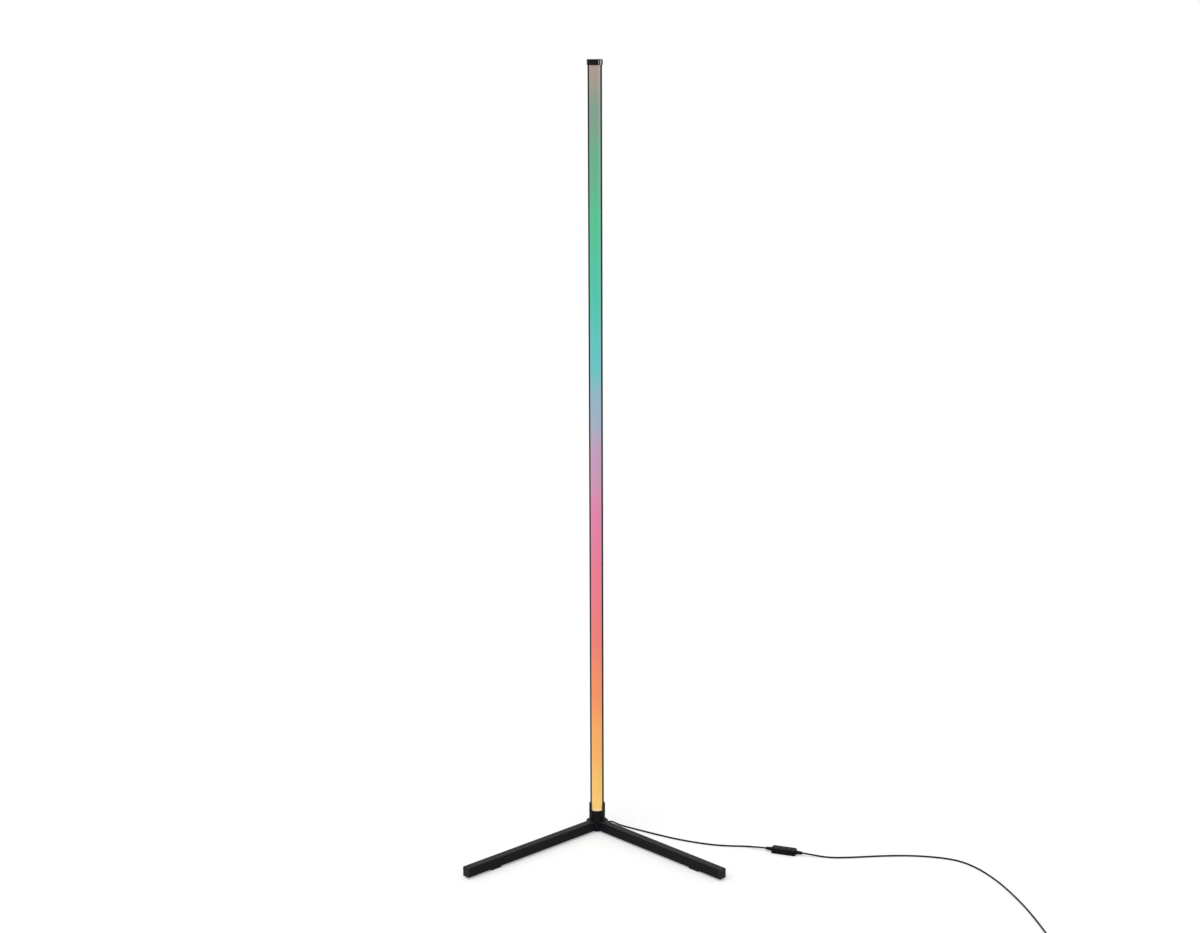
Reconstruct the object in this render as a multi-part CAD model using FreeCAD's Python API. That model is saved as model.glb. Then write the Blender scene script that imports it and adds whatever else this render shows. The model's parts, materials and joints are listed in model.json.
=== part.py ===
import FreeCAD, Part
import math
import os

# A corner floor lamp: a slim black C-profile pole with an opal light strip down its front, standing in
# a round hub with two box-tube legs that open towards the viewer, fed by a thin lead with an inline
# three-button controller and a flat 5 V plug.
#
# Millimetres, +Z up. The origin is on the floor, on the pole's axis. The light faces -Y, and the legs
# run out at equal angles to either side of -Y. Every piece is drawn where it sits in the lamp.

V = FreeCAD.Vector
X, Y, Z = V(1, 0, 0), V(0, 1, 0), V(0, 0, 1)
ORIGIN = V(0, 0, 0)

# ---- Driving dimensions: pole ---------------------------------------------------------------------
SECTION_COUNT = 4            # equal lengths of extrusion, butted end to end
SECTION_LENGTH = 340.0
POLE_RADIUS = 12.5
POLE_WALL = 1.3
SECTION_END_CHAMFER = 0.3
SLOT_HALF_WIDTH = 9.5        # half the front opening that the light strip snaps into
SHELF_FRONT = 1.5            # the LED shelf's front face, behind the axis
SHELF_THICKNESS = 1.2
POLE_SEAT_HEIGHT = 30.0      # the pole's lower end stands here, inside the hub's socket

# ---- Light strip ----------------------------------------------------------------------------------
DIFFUSER_INSET = 0.1         # the dome sits this far inside the pole's round
DIFFUSER_SIDE_GAP = 0.1
DIFFUSER_WALL = 1.2
DIFFUSER_BARB = 0.6          # how far each barb reaches behind the slot's lip
DIFFUSER_BARB_LENGTH = 2.6
BOARD_WIDTH = 10.0
BOARD_THICKNESS = 0.4
BOARD_END_MARGIN = 3.0       # from each end of the pole to the board's end
LED_SIZE = 5.0
LED_HEIGHT = 1.6
LED_PITCH = 20.0
LED_FIRST = 25.0             # first LED's centre above the pole's lower end
CONNECTOR_WIDTH = 8.0
CONNECTOR_HEIGHT = 12.0
CONNECTOR_DEPTH = 6.5
CONNECTOR_DROP = 2.0         # how far it hangs below the board's end

# ---- Joiners, plugs and screws of the pole --------------------------------------------------------
INNER_CLEARANCE = 0.1        # between a joiner and the extrusion around it
JOINER_LENGTH = 60.0
JOINER_SCREW_OFFSET = 15.0   # from the joint to the screw on either side
FOOT_PLUG_LENGTH = 28.0
SMALL_SCREW_RADIUS = 1.5
SMALL_HEAD_RADIUS = 2.8
SMALL_SCREW_LENGTH = 6.5
SMALL_HEAD_SINK = 0.2        # the flat head sits this far under the pole's round
SOCKET_SCREW_HEIGHT = 40.0
SOCKET_SCREW_RADIUS = 2.0
SOCKET_SCREW_LENGTH = 9.0
SOCKET_SCREW_CLEARANCE = 0.15
SOCKET_HEAD_RADIUS = 3.5
SOCKET_HEAD_HEIGHT = 2.2
SOCKET_SPOTFACE = 0.8

# ---- Shared by the screws, and by every cut -------------------------------------------------------
HEX_DEPTH_SHARE = 0.55       # depth of each hexagon socket, as a share of its head's height
HEX_WIDTH_SHARE = 0.5        # its corners, as a share of the head's radius
HEAD_ROUND_SHARE = 0.45      # rounding of a button head, as a share of its height
CUT_MARGIN = 1.0             # how far a cut runs past the face that it opens

# ---- Top cap --------------------------------------------------------------------------------------
CAP_RADIUS = 14.0
CAP_HEIGHT = 10.0
CAP_TOP_ROUND = 1.0
CAP_LOWER_ROUND = 0.4
CAP_SPIGOT_LENGTH = 16.0
CAP_SCREW_DROP = 8.0

# ---- Hub ------------------------------------------------------------------------------------------
HUB_RADIUS = 20.5            # the collar behind and beside the socket
HUB_BOTTOM = 2.0
HUB_TOP = 18.5
HUB_TOP_ROUND = 2.0
HUB_BOTTOM_CHAMFER = 0.5
SOCKET_RADIUS = 14.7
SOCKET_TOP = 52.0
SOCKET_CLEARANCE = 0.1
SOCKET_ROOT_ROUND = 1.5
SOCKET_RIM_CHAMFER = 0.4
NOTCH_BOTTOM = 41.0          # the light strip shows down to here, through the socket's front
NOTCH_HALF_WIDTH = 9.3
NOTCH_CORNER = 1.5
CHAMBER_RADIUS = 9.0         # wiring chamber, open underneath
CHAMBER_TOP = 16.0
FRONT_BEAD_RADIUS = 1.0      # half-round bead down the casting's front, between the legs
LEAD_HOLE_RADIUS = 3.0
LEAD_HOLE_OFFSET = 4.5       # from the axis, away from the lead's way in

# ---- Legs and feet --------------------------------------------------------------------------------
LEG_SPLAY = 45.0             # each leg's angle from -Y
LEG_WIDTH = 15.2
LEG_HEIGHT = 17.6
LEG_WALL = 1.3
LEG_CORNER = 1.2
LEG_REACH = 317.4            # from the pole's axis to the end cap's face
LEG_START = 12.2             # from the axis to the tube's inner end, just inside the socket's round
LEG_POCKET_GAP = 0.1
SPIGOT_CLEARANCE = 0.1
SPIGOT_END = 56.0
SPIGOT_CHAMFER = 1.0
SPIGOT_CORE_WIDTH = 6.0      # the cast spigot is cored from its end
SPIGOT_CORE_HEIGHT = 8.0
SPIGOT_CORE_DEPTH = 6.0
END_CAP_THICKNESS = 3.0
END_CAP_ROUND = 0.8
END_CAP_PLUG = 12.0
END_CAP_WALL = 1.6
FOOT_THICKNESS = 3.0
FOOT_REACH = 251.0           # from the axis to the pad's middle
FOOT_LENGTH = 25.0
FOOT_WIDTH = 12.0
FOOT_CORNER = 3.0
FOOT_EDGE = 0.5              # chamfer round each pad's underside
HUB_PAD_RADIUS = 11.0
HUB_PAD_RECESS = 1.0
HUB_PAD_GAP = 0.2
LEG_SCREW_RADIUS = 2.0
LEG_SCREW_LENGTH = 9.0
LEG_HEAD_RADIUS = 3.8
LEG_HEAD_HEIGHT = 1.9
LEG_SCREW_REACHES = (28.0, 46.0)

# ---- Lead, where it leaves the hub ----------------------------------------------------------------
CORD_RADIUS = 1.5
EXIT_ANGLE = 45.0            # from +X, opposite the left leg
EXIT_HEIGHT = 7.0
RELIEF_INNER_END = 8.0       # from the axis
RELIEF_NECK_RADIUS = 2.5
RELIEF_FLANGE_RADIUS = 3.7
RELIEF_FLANGE_THICKNESS = 1.4
RELIEF_BOOT_LENGTH = 3.6
RELIEF_BOOT_ROOT = 2.8
RELIEF_BOOT_TIP = 2.1
INTERNAL_BEND = 6.0

# ---- Inline controller ----------------------------------------------------------------------------
CONTROLLER_CENTRE = V(338.6, -104.8, 0)
CONTROLLER_HEADING = -19.0
CONTROLLER_LENGTH = 45.0
CONTROLLER_WIDTH = 17.0
CONTROLLER_HEIGHT = 10.0
CONTROLLER_WALL = 1.4
CONTROLLER_SPLIT = 5.5       # height of the parting line
CONTROLLER_CORNER = 4.0      # rounding of the four upright corners
CONTROLLER_EDGE = 1.5        # rounding round the top
CONTROLLER_FOOT_EDGE = 0.6   # chamfer round the underside
CONTROLLER_AXIS = 5.0        # height of the lead where it enters
BOOT_LENGTH = 11.0
BOOT_ROOT = 3.8
BOOT_TIP = 2.7
BOOT_TONGUE = 2.4            # how far each boot reaches inside the shells
BOOT_RING_COUNT = 3
BOOT_RING_WIDTH = 0.8
BOOT_RING_DEPTH = 0.5
CIRCUIT_LENGTH = 28.5
CIRCUIT_WIDTH = 12.0
CIRCUIT_THICKNESS = 1.0
CIRCUIT_TOP = 5.2
RIB_OFFSET = 6.0             # each rib under the board, from the middle
RIB_THICKNESS = 1.0
SWITCH_SIZE = 4.5
SWITCH_HEIGHT = 1.7
PLUNGER_RADIUS = 1.0
PLUNGER_HEIGHT = 0.5
POST_RADIUS = 1.8
POST_SPACING_ALONG = 33.0
POST_SPACING_ACROSS = 7.6
CASE_SCREW_RADIUS = 0.9
CASE_HEAD_RADIUS = 1.6
CASE_HEAD_HEIGHT = 0.9
CASE_SCREW_LENGTH = 7.5
CASE_SCREW_SINK = 0.3

# ---- Buttons --------------------------------------------------------------------------------------
BUTTON_NAMES = ("power", "colour", "brightness")
BUTTON_SPACING = 10.5
BUTTON_RADIUS = 3.0
BUTTON_GAP = 0.2
BUTTON_RISE = 0.6
BUTTON_ROUND = 0.3
BUTTON_TRAVEL = 0.5
BUTTON_SPARE = 0.05          # left between a pressed button and its switch
BUTTON_FLANGE = 0.7
BUTTON_FLANGE_THICKNESS = 0.5
BUTTON_DISH = 0.25
BUTTON_DISH_RADIUS = 9.0

# ---- Put-away coil and its tie --------------------------------------------------------------------
COIL_START = V(751.0, -488.0, 0)
COIL_TURNS = 3               # in each of the two layers
COIL_MIDDLE_RADIUS = 18.0
COIL_PITCH = 3.6             # from one turn to the next, and from layer to layer
COIL_REVERSAL = 0.25         # turns on either side of the middle in which the spiral reverses
COIL_CLIMB = 0.5             # turns in which it climbs a layer
TIE_THICKNESS = 0.6
TIE_WIDTH = 6.0
TIE_CLEARANCE = 0.25         # between the strap and the turns, at the sides and on top
TIE_SLACK = 0.05             # between the strap and the turns that lie on it
TIE_CORNER = 1.2
TIE_TAB = 9.0

# ---- Plug -----------------------------------------------------------------------------------------
PLUG_LENGTH = 24.0
PLUG_WIDTH = 15.5
PLUG_THICKNESS = 8.4
PLUG_CORNER = 2.0
PLUG_NOSE_TAPER = 1.2
PLUG_BOOT_LENGTH = 10.0
PLUG_BOOT_ROOT = 3.2
PLUG_BOOT_TIP = 2.1
SHELL_LENGTH = 12.0
SHELL_ROOT = 6.0             # how far the metal shell is moulded in
SHELL_WIDTH = 12.0
SHELL_THICKNESS = 4.5
SHELL_WALL = 0.35
SHELL_CORNER = 0.5
SHELL_WINDOW = 2.3
SHELL_WINDOW_SPACING = 5.0
TONGUE_THICKNESS = 1.85
TONGUE_SETBACK = 0.4         # from the shell's mouth
CONTACT_WIDTH = 1.0
CONTACT_THICKNESS = 0.2
CONTACT_SPACING = 2.3
CONTACT_COUNT = 4
CONTACT_SETBACK = 1.0        # from the shell's mouth

# ---- The lead's route: hub to controller, controller to coil, coil to plug ------------------------
# Chosen by hand along the way that the lead lies; the tube rounds each corner with a tangent arc.
LAMP_SIDE_ROUTE = [
    (18.1, 18.1, 7.0), (21.3, 21.3, 7.0), (26.4, 23.3, 6.2), (32.1, 22.9, 4.1), (37.9, 20.2, 2.2),
    (45.6, 15.4, 1.5), (60.0, 6.2, 1.5), (82.0, -8.2, 1.5), (109.5, -25.4, 1.5), (138.5, -42.6, 1.5),
    (167.0, -56.4, 1.5), (194.0, -66.8, 1.5), (220.0, -74.2, 1.5), (246.0, -77.2, 1.5),
    (268.5, -77.6, 1.5), (281.0, -82.0, 2.4), (290.8, -87.3, 4.0), (299.3, -91.3, 5.0),
    (306.9, -93.9, 5.0),
]
PLUG_SIDE_ROUTE = [
    (370.3, -115.7, 5.0), (377.9, -118.3, 5.0), (386.5, -119.8, 4.0), (397.0, -120.8, 2.3),
    (410.0, -123.9, 1.5), (428.0, -127.1, 1.5), (454.0, -125.4, 1.5), (483.0, -121.6, 1.5),
    (511.0, -117.9, 1.5), (539.0, -115.8, 1.5), (568.0, -115.9, 1.5), (597.0, -119.6, 1.5),
    (625.0, -126.6, 1.5), (651.0, -139.4, 1.5), (674.5, -167.6, 1.5), (691.5, -200.5, 1.5),
    (705.5, -236.0, 1.5), (717.5, -276.0, 1.5), (728.0, -318.0, 1.5), (736.6, -362.0, 1.5),
    (743.0, -404.0, 1.5), (748.5, -442.0, 1.5), (751.0, -468.0, 2.15), (751.0, -485.0, 2.15),
]
TAIL_ROUTE = [
    (751.15, -490.99, 5.75), (751.54, -498.98, 5.75), (751.3, -507.5, 4.7), (748.3, -515.2, 3.1),
    (742.3, -521.2, 1.9), (734.0, -524.5, 1.5), (724.6, -525.5, 2.1), (715.6, -525.5, 3.5),
    (708.0, -525.5, 4.2), (700.4, -525.5, 4.2),
]

# ---- Sizes that follow from the ones above --------------------------------------------------------
POLE_INNER_RADIUS = POLE_RADIUS - POLE_WALL
POLE_LENGTH = SECTION_COUNT * SECTION_LENGTH
POLE_TOP = POLE_SEAT_HEIGHT + POLE_LENGTH
JOINT_HEIGHTS = [POLE_SEAT_HEIGHT + SECTION_LENGTH * i for i in range(1, SECTION_COUNT)]
SHELF_BACK = SHELF_FRONT + SHELF_THICKNESS
BOARD_FRONT = SHELF_FRONT - BOARD_THICKNESS
BORE_RADIUS = POLE_RADIUS + SOCKET_CLEARANCE
LEG_BOTTOM = FOOT_THICKNESS
LEG_TOP = LEG_BOTTOM + LEG_HEIGHT
LEG_AXIS = LEG_BOTTOM + LEG_HEIGHT / 2
EXIT_DIRECTION = V(math.cos(math.radians(EXIT_ANGLE)), math.sin(math.radians(EXIT_ANGLE)), 0)
RELIEF_END = HUB_RADIUS + RELIEF_FLANGE_THICKNESS + RELIEF_BOOT_LENGTH
CORD_SECTION = math.pi * CORD_RADIUS ** 2
SWITCH_TOP = CIRCUIT_TOP + SWITCH_HEIGHT + PLUNGER_HEIGHT
PLUG_AXIS = PLUG_THICKNESS / 2


# ---- Helpers --------------------------------------------------------------------------------------
def box(x, y, z):
    """A block between (low, high) pairs on each axis."""
    return Part.makeBox(x[1] - x[0], y[1] - y[0], z[1] - z[0], V(x[0], y[0], z[0]))


def centred(width, depth, z):
    """A block centred on the Z axis between two heights."""
    return box((-width / 2, width / 2), (-depth / 2, depth / 2), z)


def rod(radius, start, direction, length):
    return Part.makeCylinder(radius, length, start, direction)


def line(start, end):
    return Part.LineSegment(start, end).toShape()


def arc(start, middle, end):
    return Part.Arc(start, middle, end).toShape()


def polygon_face(points):
    return Part.Face(Part.makePolygon(points + [points[0]]))


def along(shape, direction):
    """The straight edges of a shape that run along a direction."""
    straight = [edge for edge in shape.Edges if isinstance(edge.Curve, Part.Line)]
    return [e for e in straight if abs(e.tangentAt(e.FirstParameter).dot(direction)) > 0.9999]


def at_height(edges, height):
    """Those edges that lie at one height."""
    box_of = [(edge, edge.BoundBox) for edge in edges]
    return [e for e, b in box_of if abs(b.ZMin - height) < 1e-4 and abs(b.ZMax - height) < 1e-4]


def rounded_bar(length, width, height, corner, start, bottom):
    """A bar along +X with its four long edges rounded."""
    bar = box((start, start + length), (-width / 2, width / 2), (bottom, bottom + height))
    return bar.makeFillet(corner, along(bar, X))


def hexagon_socket(head_radius, head_height, face_centre, inward):
    """The cut for a hexagon key in a screw head, from the head's outer face."""
    circle = Part.Circle(face_centre, inward, head_radius * HEX_WIDTH_SHARE)
    corners = [circle.value(math.radians(60 * i)) for i in range(6)]
    return polygon_face(corners).extrude(inward * head_height * HEX_DEPTH_SHARE)


def turned(shape, angle, centre=ORIGIN):
    """A copy turned about +Z."""
    copy = shape.copy()
    copy.rotate(centre, Z, angle)
    return copy


def save(name, shape):
    """Write one piece, refusing anything that isn't closed solids."""
    if not shape.isValid() or not shape.Solids:
        raise ValueError(name + " is not a valid solid")
    solids = shape.Solids
    result = solids[0] if len(solids) == 1 else Part.makeCompound(solids)
    result.exportStep("parts/" + name + ".step")


# ---- Pole -----------------------------------------------------------------------------------------
def pole_section(index):
    """One length of the C-profile: round wall, open front, LED shelf and bevelled ends."""
    low = POLE_SEAT_HEIGHT + SECTION_LENGTH * index
    outer = rod(POLE_RADIUS, V(0, 0, low), Z, SECTION_LENGTH)
    outer = outer.makeChamfer(SECTION_END_CHAMFER, [e for e in outer.Edges if e.Closed])
    hollow = rod(POLE_INNER_RADIUS, V(0, 0, low), Z, SECTION_LENGTH)
    shelf = box((-POLE_INNER_RADIUS, POLE_INNER_RADIUS), (SHELF_FRONT, SHELF_BACK),
                (low, low + SECTION_LENGTH)).common(hollow)
    slot = box((-SLOT_HALF_WIDTH, SLOT_HALF_WIDTH), (-POLE_RADIUS, 0), (low, low + SECTION_LENGTH))
    section = outer.cut(hollow).cut(slot).fuse(shelf)
    for height in small_screw_heights():
        if low < height < low + SECTION_LENGTH:
            section = section.cut(small_screw_hole(height))
    if index == 0:
        section = section.cut(socket_screw_hole(SOCKET_SCREW_RADIUS + SOCKET_SCREW_CLEARANCE))
    return section.removeSplitter()


def small_screw_heights():
    """Two screws at each joint, one on either side, and one for the cap."""
    sides = (-JOINER_SCREW_OFFSET, JOINER_SCREW_OFFSET)
    return [height + side for height in JOINT_HEIGHTS for side in sides] + [POLE_TOP - CAP_SCREW_DROP]


def small_screw_hole(height):
    """A countersunk hole in the back of the pole."""
    return small_screw_blank(height, POLE_RADIUS + CUT_MARGIN)


def small_screw_blank(height, head_face):
    """A flat-headed screw's outline, with its head carried out to a given distance."""
    seat = POLE_RADIUS - SMALL_HEAD_SINK
    shank = rod(SMALL_SCREW_RADIUS, V(0, seat, height), -Y, SMALL_SCREW_LENGTH)
    head = Part.makeCone(SMALL_HEAD_RADIUS, SMALL_SCREW_RADIUS, SMALL_HEAD_RADIUS - SMALL_SCREW_RADIUS,
                         V(0, seat, height), -Y)
    blank = shank.fuse(head)
    if head_face > seat:
        blank = blank.fuse(rod(SMALL_HEAD_RADIUS, V(0, seat, height), Y, head_face - seat))
    return blank


def pole_screws():
    """The flat-headed screws down the back of the pole, one group."""
    seat = POLE_RADIUS - SMALL_HEAD_SINK
    head_height = SMALL_HEAD_RADIUS - SMALL_SCREW_RADIUS
    screws = []
    for height in small_screw_heights():
        socket = hexagon_socket(SMALL_HEAD_RADIUS, head_height, V(0, seat, height), -Y)
        screws.append(small_screw_blank(height, seat).cut(socket))
    return Part.makeCompound(screws)


def rear_bar(low, length):
    """A D-shaped bar that fills the chamber behind the LED shelf."""
    radius = POLE_INNER_RADIUS - INNER_CLEARANCE
    front = SHELF_BACK + INNER_CLEARANCE
    return rod(radius, V(0, 0, low), Z, length).common(
        box((-radius, radius), (front, radius), (low, low + length)))


def pole_joiner(joint_height):
    """The bar across one joint, with a tapped hole for each of its two screws."""
    joiner = rear_bar(joint_height - JOINER_LENGTH / 2, JOINER_LENGTH)
    for side in (-JOINER_SCREW_OFFSET, JOINER_SCREW_OFFSET):
        joiner = joiner.cut(small_screw_blank(joint_height + side, POLE_RADIUS))
    return joiner


def socket_screw_hole(radius):
    """The straight hole behind the socket screw's head, from the back towards the axis."""
    seat = SOCKET_RADIUS - SOCKET_SPOTFACE
    return rod(radius, V(0, seat, SOCKET_SCREW_HEIGHT), -Y, SOCKET_SCREW_LENGTH)


def pole_foot_plug():
    """The tapped plug at the foot of the pole, which the socket screw pulls back against the wall."""
    return rear_bar(POLE_SEAT_HEIGHT, FOOT_PLUG_LENGTH).cut(socket_screw_hole(SOCKET_SCREW_RADIUS))


def socket_screw():
    """The button-headed screw through the back of the hub's socket."""
    seat = V(0, SOCKET_RADIUS - SOCKET_SPOTFACE, SOCKET_SCREW_HEIGHT)
    head = rod(SOCKET_HEAD_RADIUS, seat, Y, SOCKET_HEAD_HEIGHT)
    rim = [e for e in head.Edges if e.Closed and e.BoundBox.YMin > seat.y + SOCKET_HEAD_HEIGHT / 2]
    head = head.makeFillet(SOCKET_HEAD_HEIGHT * HEAD_ROUND_SHARE, rim)
    screw = head.fuse(socket_screw_hole(SOCKET_SCREW_RADIUS))
    return screw.cut(hexagon_socket(SOCKET_HEAD_RADIUS, SOCKET_HEAD_HEIGHT,
                                    seat + Y * SOCKET_HEAD_HEIGHT, -Y))


# ---- Light strip ----------------------------------------------------------------------------------
def diffuser_half(side, radius):
    """Corner points of the strip's section on one side, from the dome's outer edge inwards."""
    outer = SLOT_HALF_WIDTH - DIFFUSER_SIDE_GAP
    inner = outer - DIFFUSER_WALL
    lip = -math.sqrt(POLE_INNER_RADIUS ** 2 - SLOT_HALF_WIDTH ** 2)
    edge = -math.sqrt(radius ** 2 - outer ** 2)
    under = -math.sqrt((radius - DIFFUSER_WALL) ** 2 - inner ** 2)
    barb = lip + DIFFUSER_BARB_LENGTH / 2
    foot = lip + DIFFUSER_BARB_LENGTH
    return [V(side * outer, edge, 0), V(side * outer, lip + DIFFUSER_SIDE_GAP, 0),
            V(side * (outer + DIFFUSER_BARB), barb, 0), V(side * outer, foot, 0),
            V(side * inner, foot, 0), V(side * inner, under, 0)]


def diffuser_strip():
    """The opal strip: a domed face, two springy legs and the barbs behind the slot's lips."""
    radius = POLE_RADIUS - DIFFUSER_INSET
    left, right = diffuser_half(-1, radius), diffuser_half(1, radius)
    edges = [arc(left[0], V(0, -radius, 0), right[0])]
    edges += [line(a, b) for a, b in zip(right, right[1:])]
    edges += [arc(right[-1], V(0, -(radius - DIFFUSER_WALL), 0), left[-1])]
    edges += [line(a, b) for a, b in zip(left[::-1], left[::-1][1:])]
    section = Part.Face(Part.Wire(edges))
    section.translate(V(0, 0, POLE_SEAT_HEIGHT))
    return section.extrude(Z * POLE_LENGTH)


def led_board():
    """The flexible board stuck to the front of the shelf."""
    return box((-BOARD_WIDTH / 2, BOARD_WIDTH / 2), (BOARD_FRONT, SHELF_FRONT),
               (POLE_SEAT_HEIGHT + BOARD_END_MARGIN, POLE_TOP - BOARD_END_MARGIN))


def led_packages():
    """Every LED on the board, one group."""
    leds = []
    height = POLE_SEAT_HEIGHT + LED_FIRST
    while height + LED_SIZE / 2 < POLE_TOP - BOARD_END_MARGIN:
        leds.append(box((-LED_SIZE / 2, LED_SIZE / 2), (BOARD_FRONT - LED_HEIGHT, BOARD_FRONT),
                        (height - LED_SIZE / 2, height + LED_SIZE / 2)))
        height += LED_PITCH
    return Part.makeCompound(leds)


def lead_rise():
    """Where the inner lead stands upright, seen from above."""
    return EXIT_DIRECTION * -LEAD_HOLE_OFFSET


def connector_bottom():
    return POLE_SEAT_HEIGHT + BOARD_END_MARGIN - CONNECTOR_DROP


def strip_connector():
    """The small housing that joins the lead to the lower end of the board."""
    middle = lead_rise()
    low = connector_bottom()
    return box((middle.x - CONNECTOR_WIDTH / 2, middle.x + CONNECTOR_WIDTH / 2),
               (BOARD_FRONT - CONNECTOR_DEPTH, BOARD_FRONT), (low, low + CONNECTOR_HEIGHT))


def top_cap():
    """The glossy lid: a disc wider than the pole, with a spigot down the rear chamber."""
    disc = rod(CAP_RADIUS, V(0, 0, POLE_TOP), Z, CAP_HEIGHT)
    rings = [e for e in disc.Edges if e.Closed]
    disc = disc.makeFillet(CAP_TOP_ROUND, at_height(rings, POLE_TOP + CAP_HEIGHT))
    rings = [e for e in disc.Edges if e.Closed]
    disc = disc.makeFillet(CAP_LOWER_ROUND, at_height(rings, POLE_TOP))
    spigot = rear_bar(POLE_TOP - CAP_SPIGOT_LENGTH, CAP_SPIGOT_LENGTH)
    spigot = spigot.cut(small_screw_blank(POLE_TOP - CAP_SCREW_DROP, POLE_RADIUS))
    return disc.fuse(spigot)


# ---- Hub ------------------------------------------------------------------------------------------
def hub_body():
    """The turned outside of the hub: a rounded collar round the foot of the pole's socket."""
    root = SOCKET_ROOT_ROUND
    disc_edge = V(HUB_RADIUS - HUB_TOP_ROUND, 0, HUB_TOP - HUB_TOP_ROUND)
    root_centre = V(SOCKET_RADIUS + root, 0, HUB_TOP + root)
    diagonal = math.sqrt(0.5)
    points = [V(0, 0, HUB_BOTTOM), V(HUB_RADIUS - HUB_BOTTOM_CHAMFER, 0, HUB_BOTTOM),
              V(HUB_RADIUS, 0, HUB_BOTTOM + HUB_BOTTOM_CHAMFER), V(HUB_RADIUS, 0, disc_edge.z)]
    edges = [line(a, b) for a, b in zip(points, points[1:])]
    shoulder = V(disc_edge.x, 0, HUB_TOP)
    edges.append(arc(points[-1], disc_edge + V(diagonal, 0, diagonal) * HUB_TOP_ROUND, shoulder))
    foot = V(root_centre.x, 0, HUB_TOP)
    rise = V(SOCKET_RADIUS, 0, root_centre.z)
    edges.append(line(shoulder, foot))
    edges.append(arc(foot, root_centre - V(diagonal, 0, diagonal) * root, rise))
    points = [rise, V(SOCKET_RADIUS, 0, SOCKET_TOP - SOCKET_RIM_CHAMFER),
              V(SOCKET_RADIUS - SOCKET_RIM_CHAMFER, 0, SOCKET_TOP), V(0, 0, SOCKET_TOP),
              V(0, 0, HUB_BOTTOM)]
    edges += [line(a, b) for a, b in zip(points, points[1:])]
    return Part.Face(Part.Wire(edges)).revolve(ORIGIN, Z, 360)


def leg_angle(side):
    """A leg's bearing from +X: side is -1 for the left leg and 1 for the right."""
    return -90.0 + side * LEG_SPLAY


def leg_spigot():
    """The cast tongue that the leg tube slides over, drawn along +X."""
    gap = LEG_WALL + SPIGOT_CLEARANCE
    width, height = LEG_WIDTH - 2 * gap, LEG_HEIGHT - 2 * gap
    start = LEG_START - LEG_WALL
    spigot = box((start, SPIGOT_END), (-width / 2, width / 2), (LEG_BOTTOM + gap, LEG_TOP - gap))
    tip = [e for e in spigot.Edges if e.BoundBox.XMin > SPIGOT_END - 1e-4]
    spigot = spigot.makeChamfer(SPIGOT_CHAMFER, tip)
    core = box((SPIGOT_END - SPIGOT_CORE_DEPTH, SPIGOT_END),
               (-SPIGOT_CORE_WIDTH / 2, SPIGOT_CORE_WIDTH / 2),
               (LEG_AXIS - SPIGOT_CORE_HEIGHT / 2, LEG_AXIS + SPIGOT_CORE_HEIGHT / 2))
    return spigot.cut(core).cut(leg_screw_shanks())


def leg_pocket():
    """The recess where a leg tube seats, through the collar and open underneath."""
    width = LEG_WIDTH / 2 + LEG_POCKET_GAP
    return box((LEG_START, HUB_RADIUS + CUT_MARGIN), (-width, width), (0, LEG_TOP + LEG_POCKET_GAP))


def collar_front():
    """What is left off the collar between the legs, where the socket's round runs down to the floor."""
    reach = 2 * HUB_RADIUS
    corners = [turned(Part.Vertex(reach, 0, 0), leg_angle(side)).Point for side in (-1, 1)]
    height = HUB_TOP + SOCKET_ROOT_ROUND + CUT_MARGIN
    return polygon_face([ORIGIN] + corners).extrude(Z * height).cut(rod(SOCKET_RADIUS, ORIGIN, Z, height))


def front_bead():
    """The half-round bead down the socket's front, domed where it ends at the legs' tops."""
    foot, top = V(0, -SOCKET_RADIUS, HUB_BOTTOM), V(0, -SOCKET_RADIUS, LEG_TOP)
    bead = rod(FRONT_BEAD_RADIUS, foot, Z, top.z - foot.z)
    return bead.fuse(Part.makeSphere(FRONT_BEAD_RADIUS, top))


def socket_notch():
    """The front opening of the socket, with rounded lower corners."""
    width = NOTCH_HALF_WIDTH
    notch = box((-width, width), (-SOCKET_RADIUS - CUT_MARGIN, -POLE_RADIUS / 2),
                (NOTCH_BOTTOM, SOCKET_TOP + 2 * NOTCH_CORNER))
    lower = [e for e in along(notch, Y) if abs(e.BoundBox.ZMax - NOTCH_BOTTOM) < 1e-4]
    return notch.makeFillet(NOTCH_CORNER, lower)


def base_hub():
    """The hub casting, with the pole's socket, both spigots and the way in for the lead."""
    hub = hub_body().cut(collar_front()).fuse(front_bead())
    hub = hub.cut(rod(BORE_RADIUS, V(0, 0, POLE_SEAT_HEIGHT), Z, SOCKET_TOP))
    hub = hub.cut(socket_notch())
    hub = hub.cut(rod(CHAMBER_RADIUS, ORIGIN, Z, CHAMBER_TOP))
    hub = hub.cut(rod(HUB_PAD_RADIUS + HUB_PAD_GAP, ORIGIN, Z, HUB_BOTTOM + HUB_PAD_RECESS))
    hub = hub.cut(rod(LEAD_HOLE_RADIUS, lead_rise(), Z, POLE_SEAT_HEIGHT))
    hub = hub.cut(rod(RELIEF_NECK_RADIUS, V(0, 0, EXIT_HEIGHT), EXIT_DIRECTION, HUB_RADIUS + CUT_MARGIN))
    for side in (-1, 1):
        hub = hub.cut(turned(leg_pocket(), leg_angle(side)))
        hub = hub.fuse(turned(leg_spigot(), leg_angle(side)))
    hub = hub.cut(socket_screw_hole(SOCKET_SCREW_RADIUS + SOCKET_SCREW_CLEARANCE))
    seat = V(0, SOCKET_RADIUS - SOCKET_SPOTFACE, SOCKET_SCREW_HEIGHT)
    return hub.cut(rod(SOCKET_HEAD_RADIUS + SOCKET_SCREW_CLEARANCE, seat, Y,
                       SOCKET_SPOTFACE + CUT_MARGIN)).removeSplitter()


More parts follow.
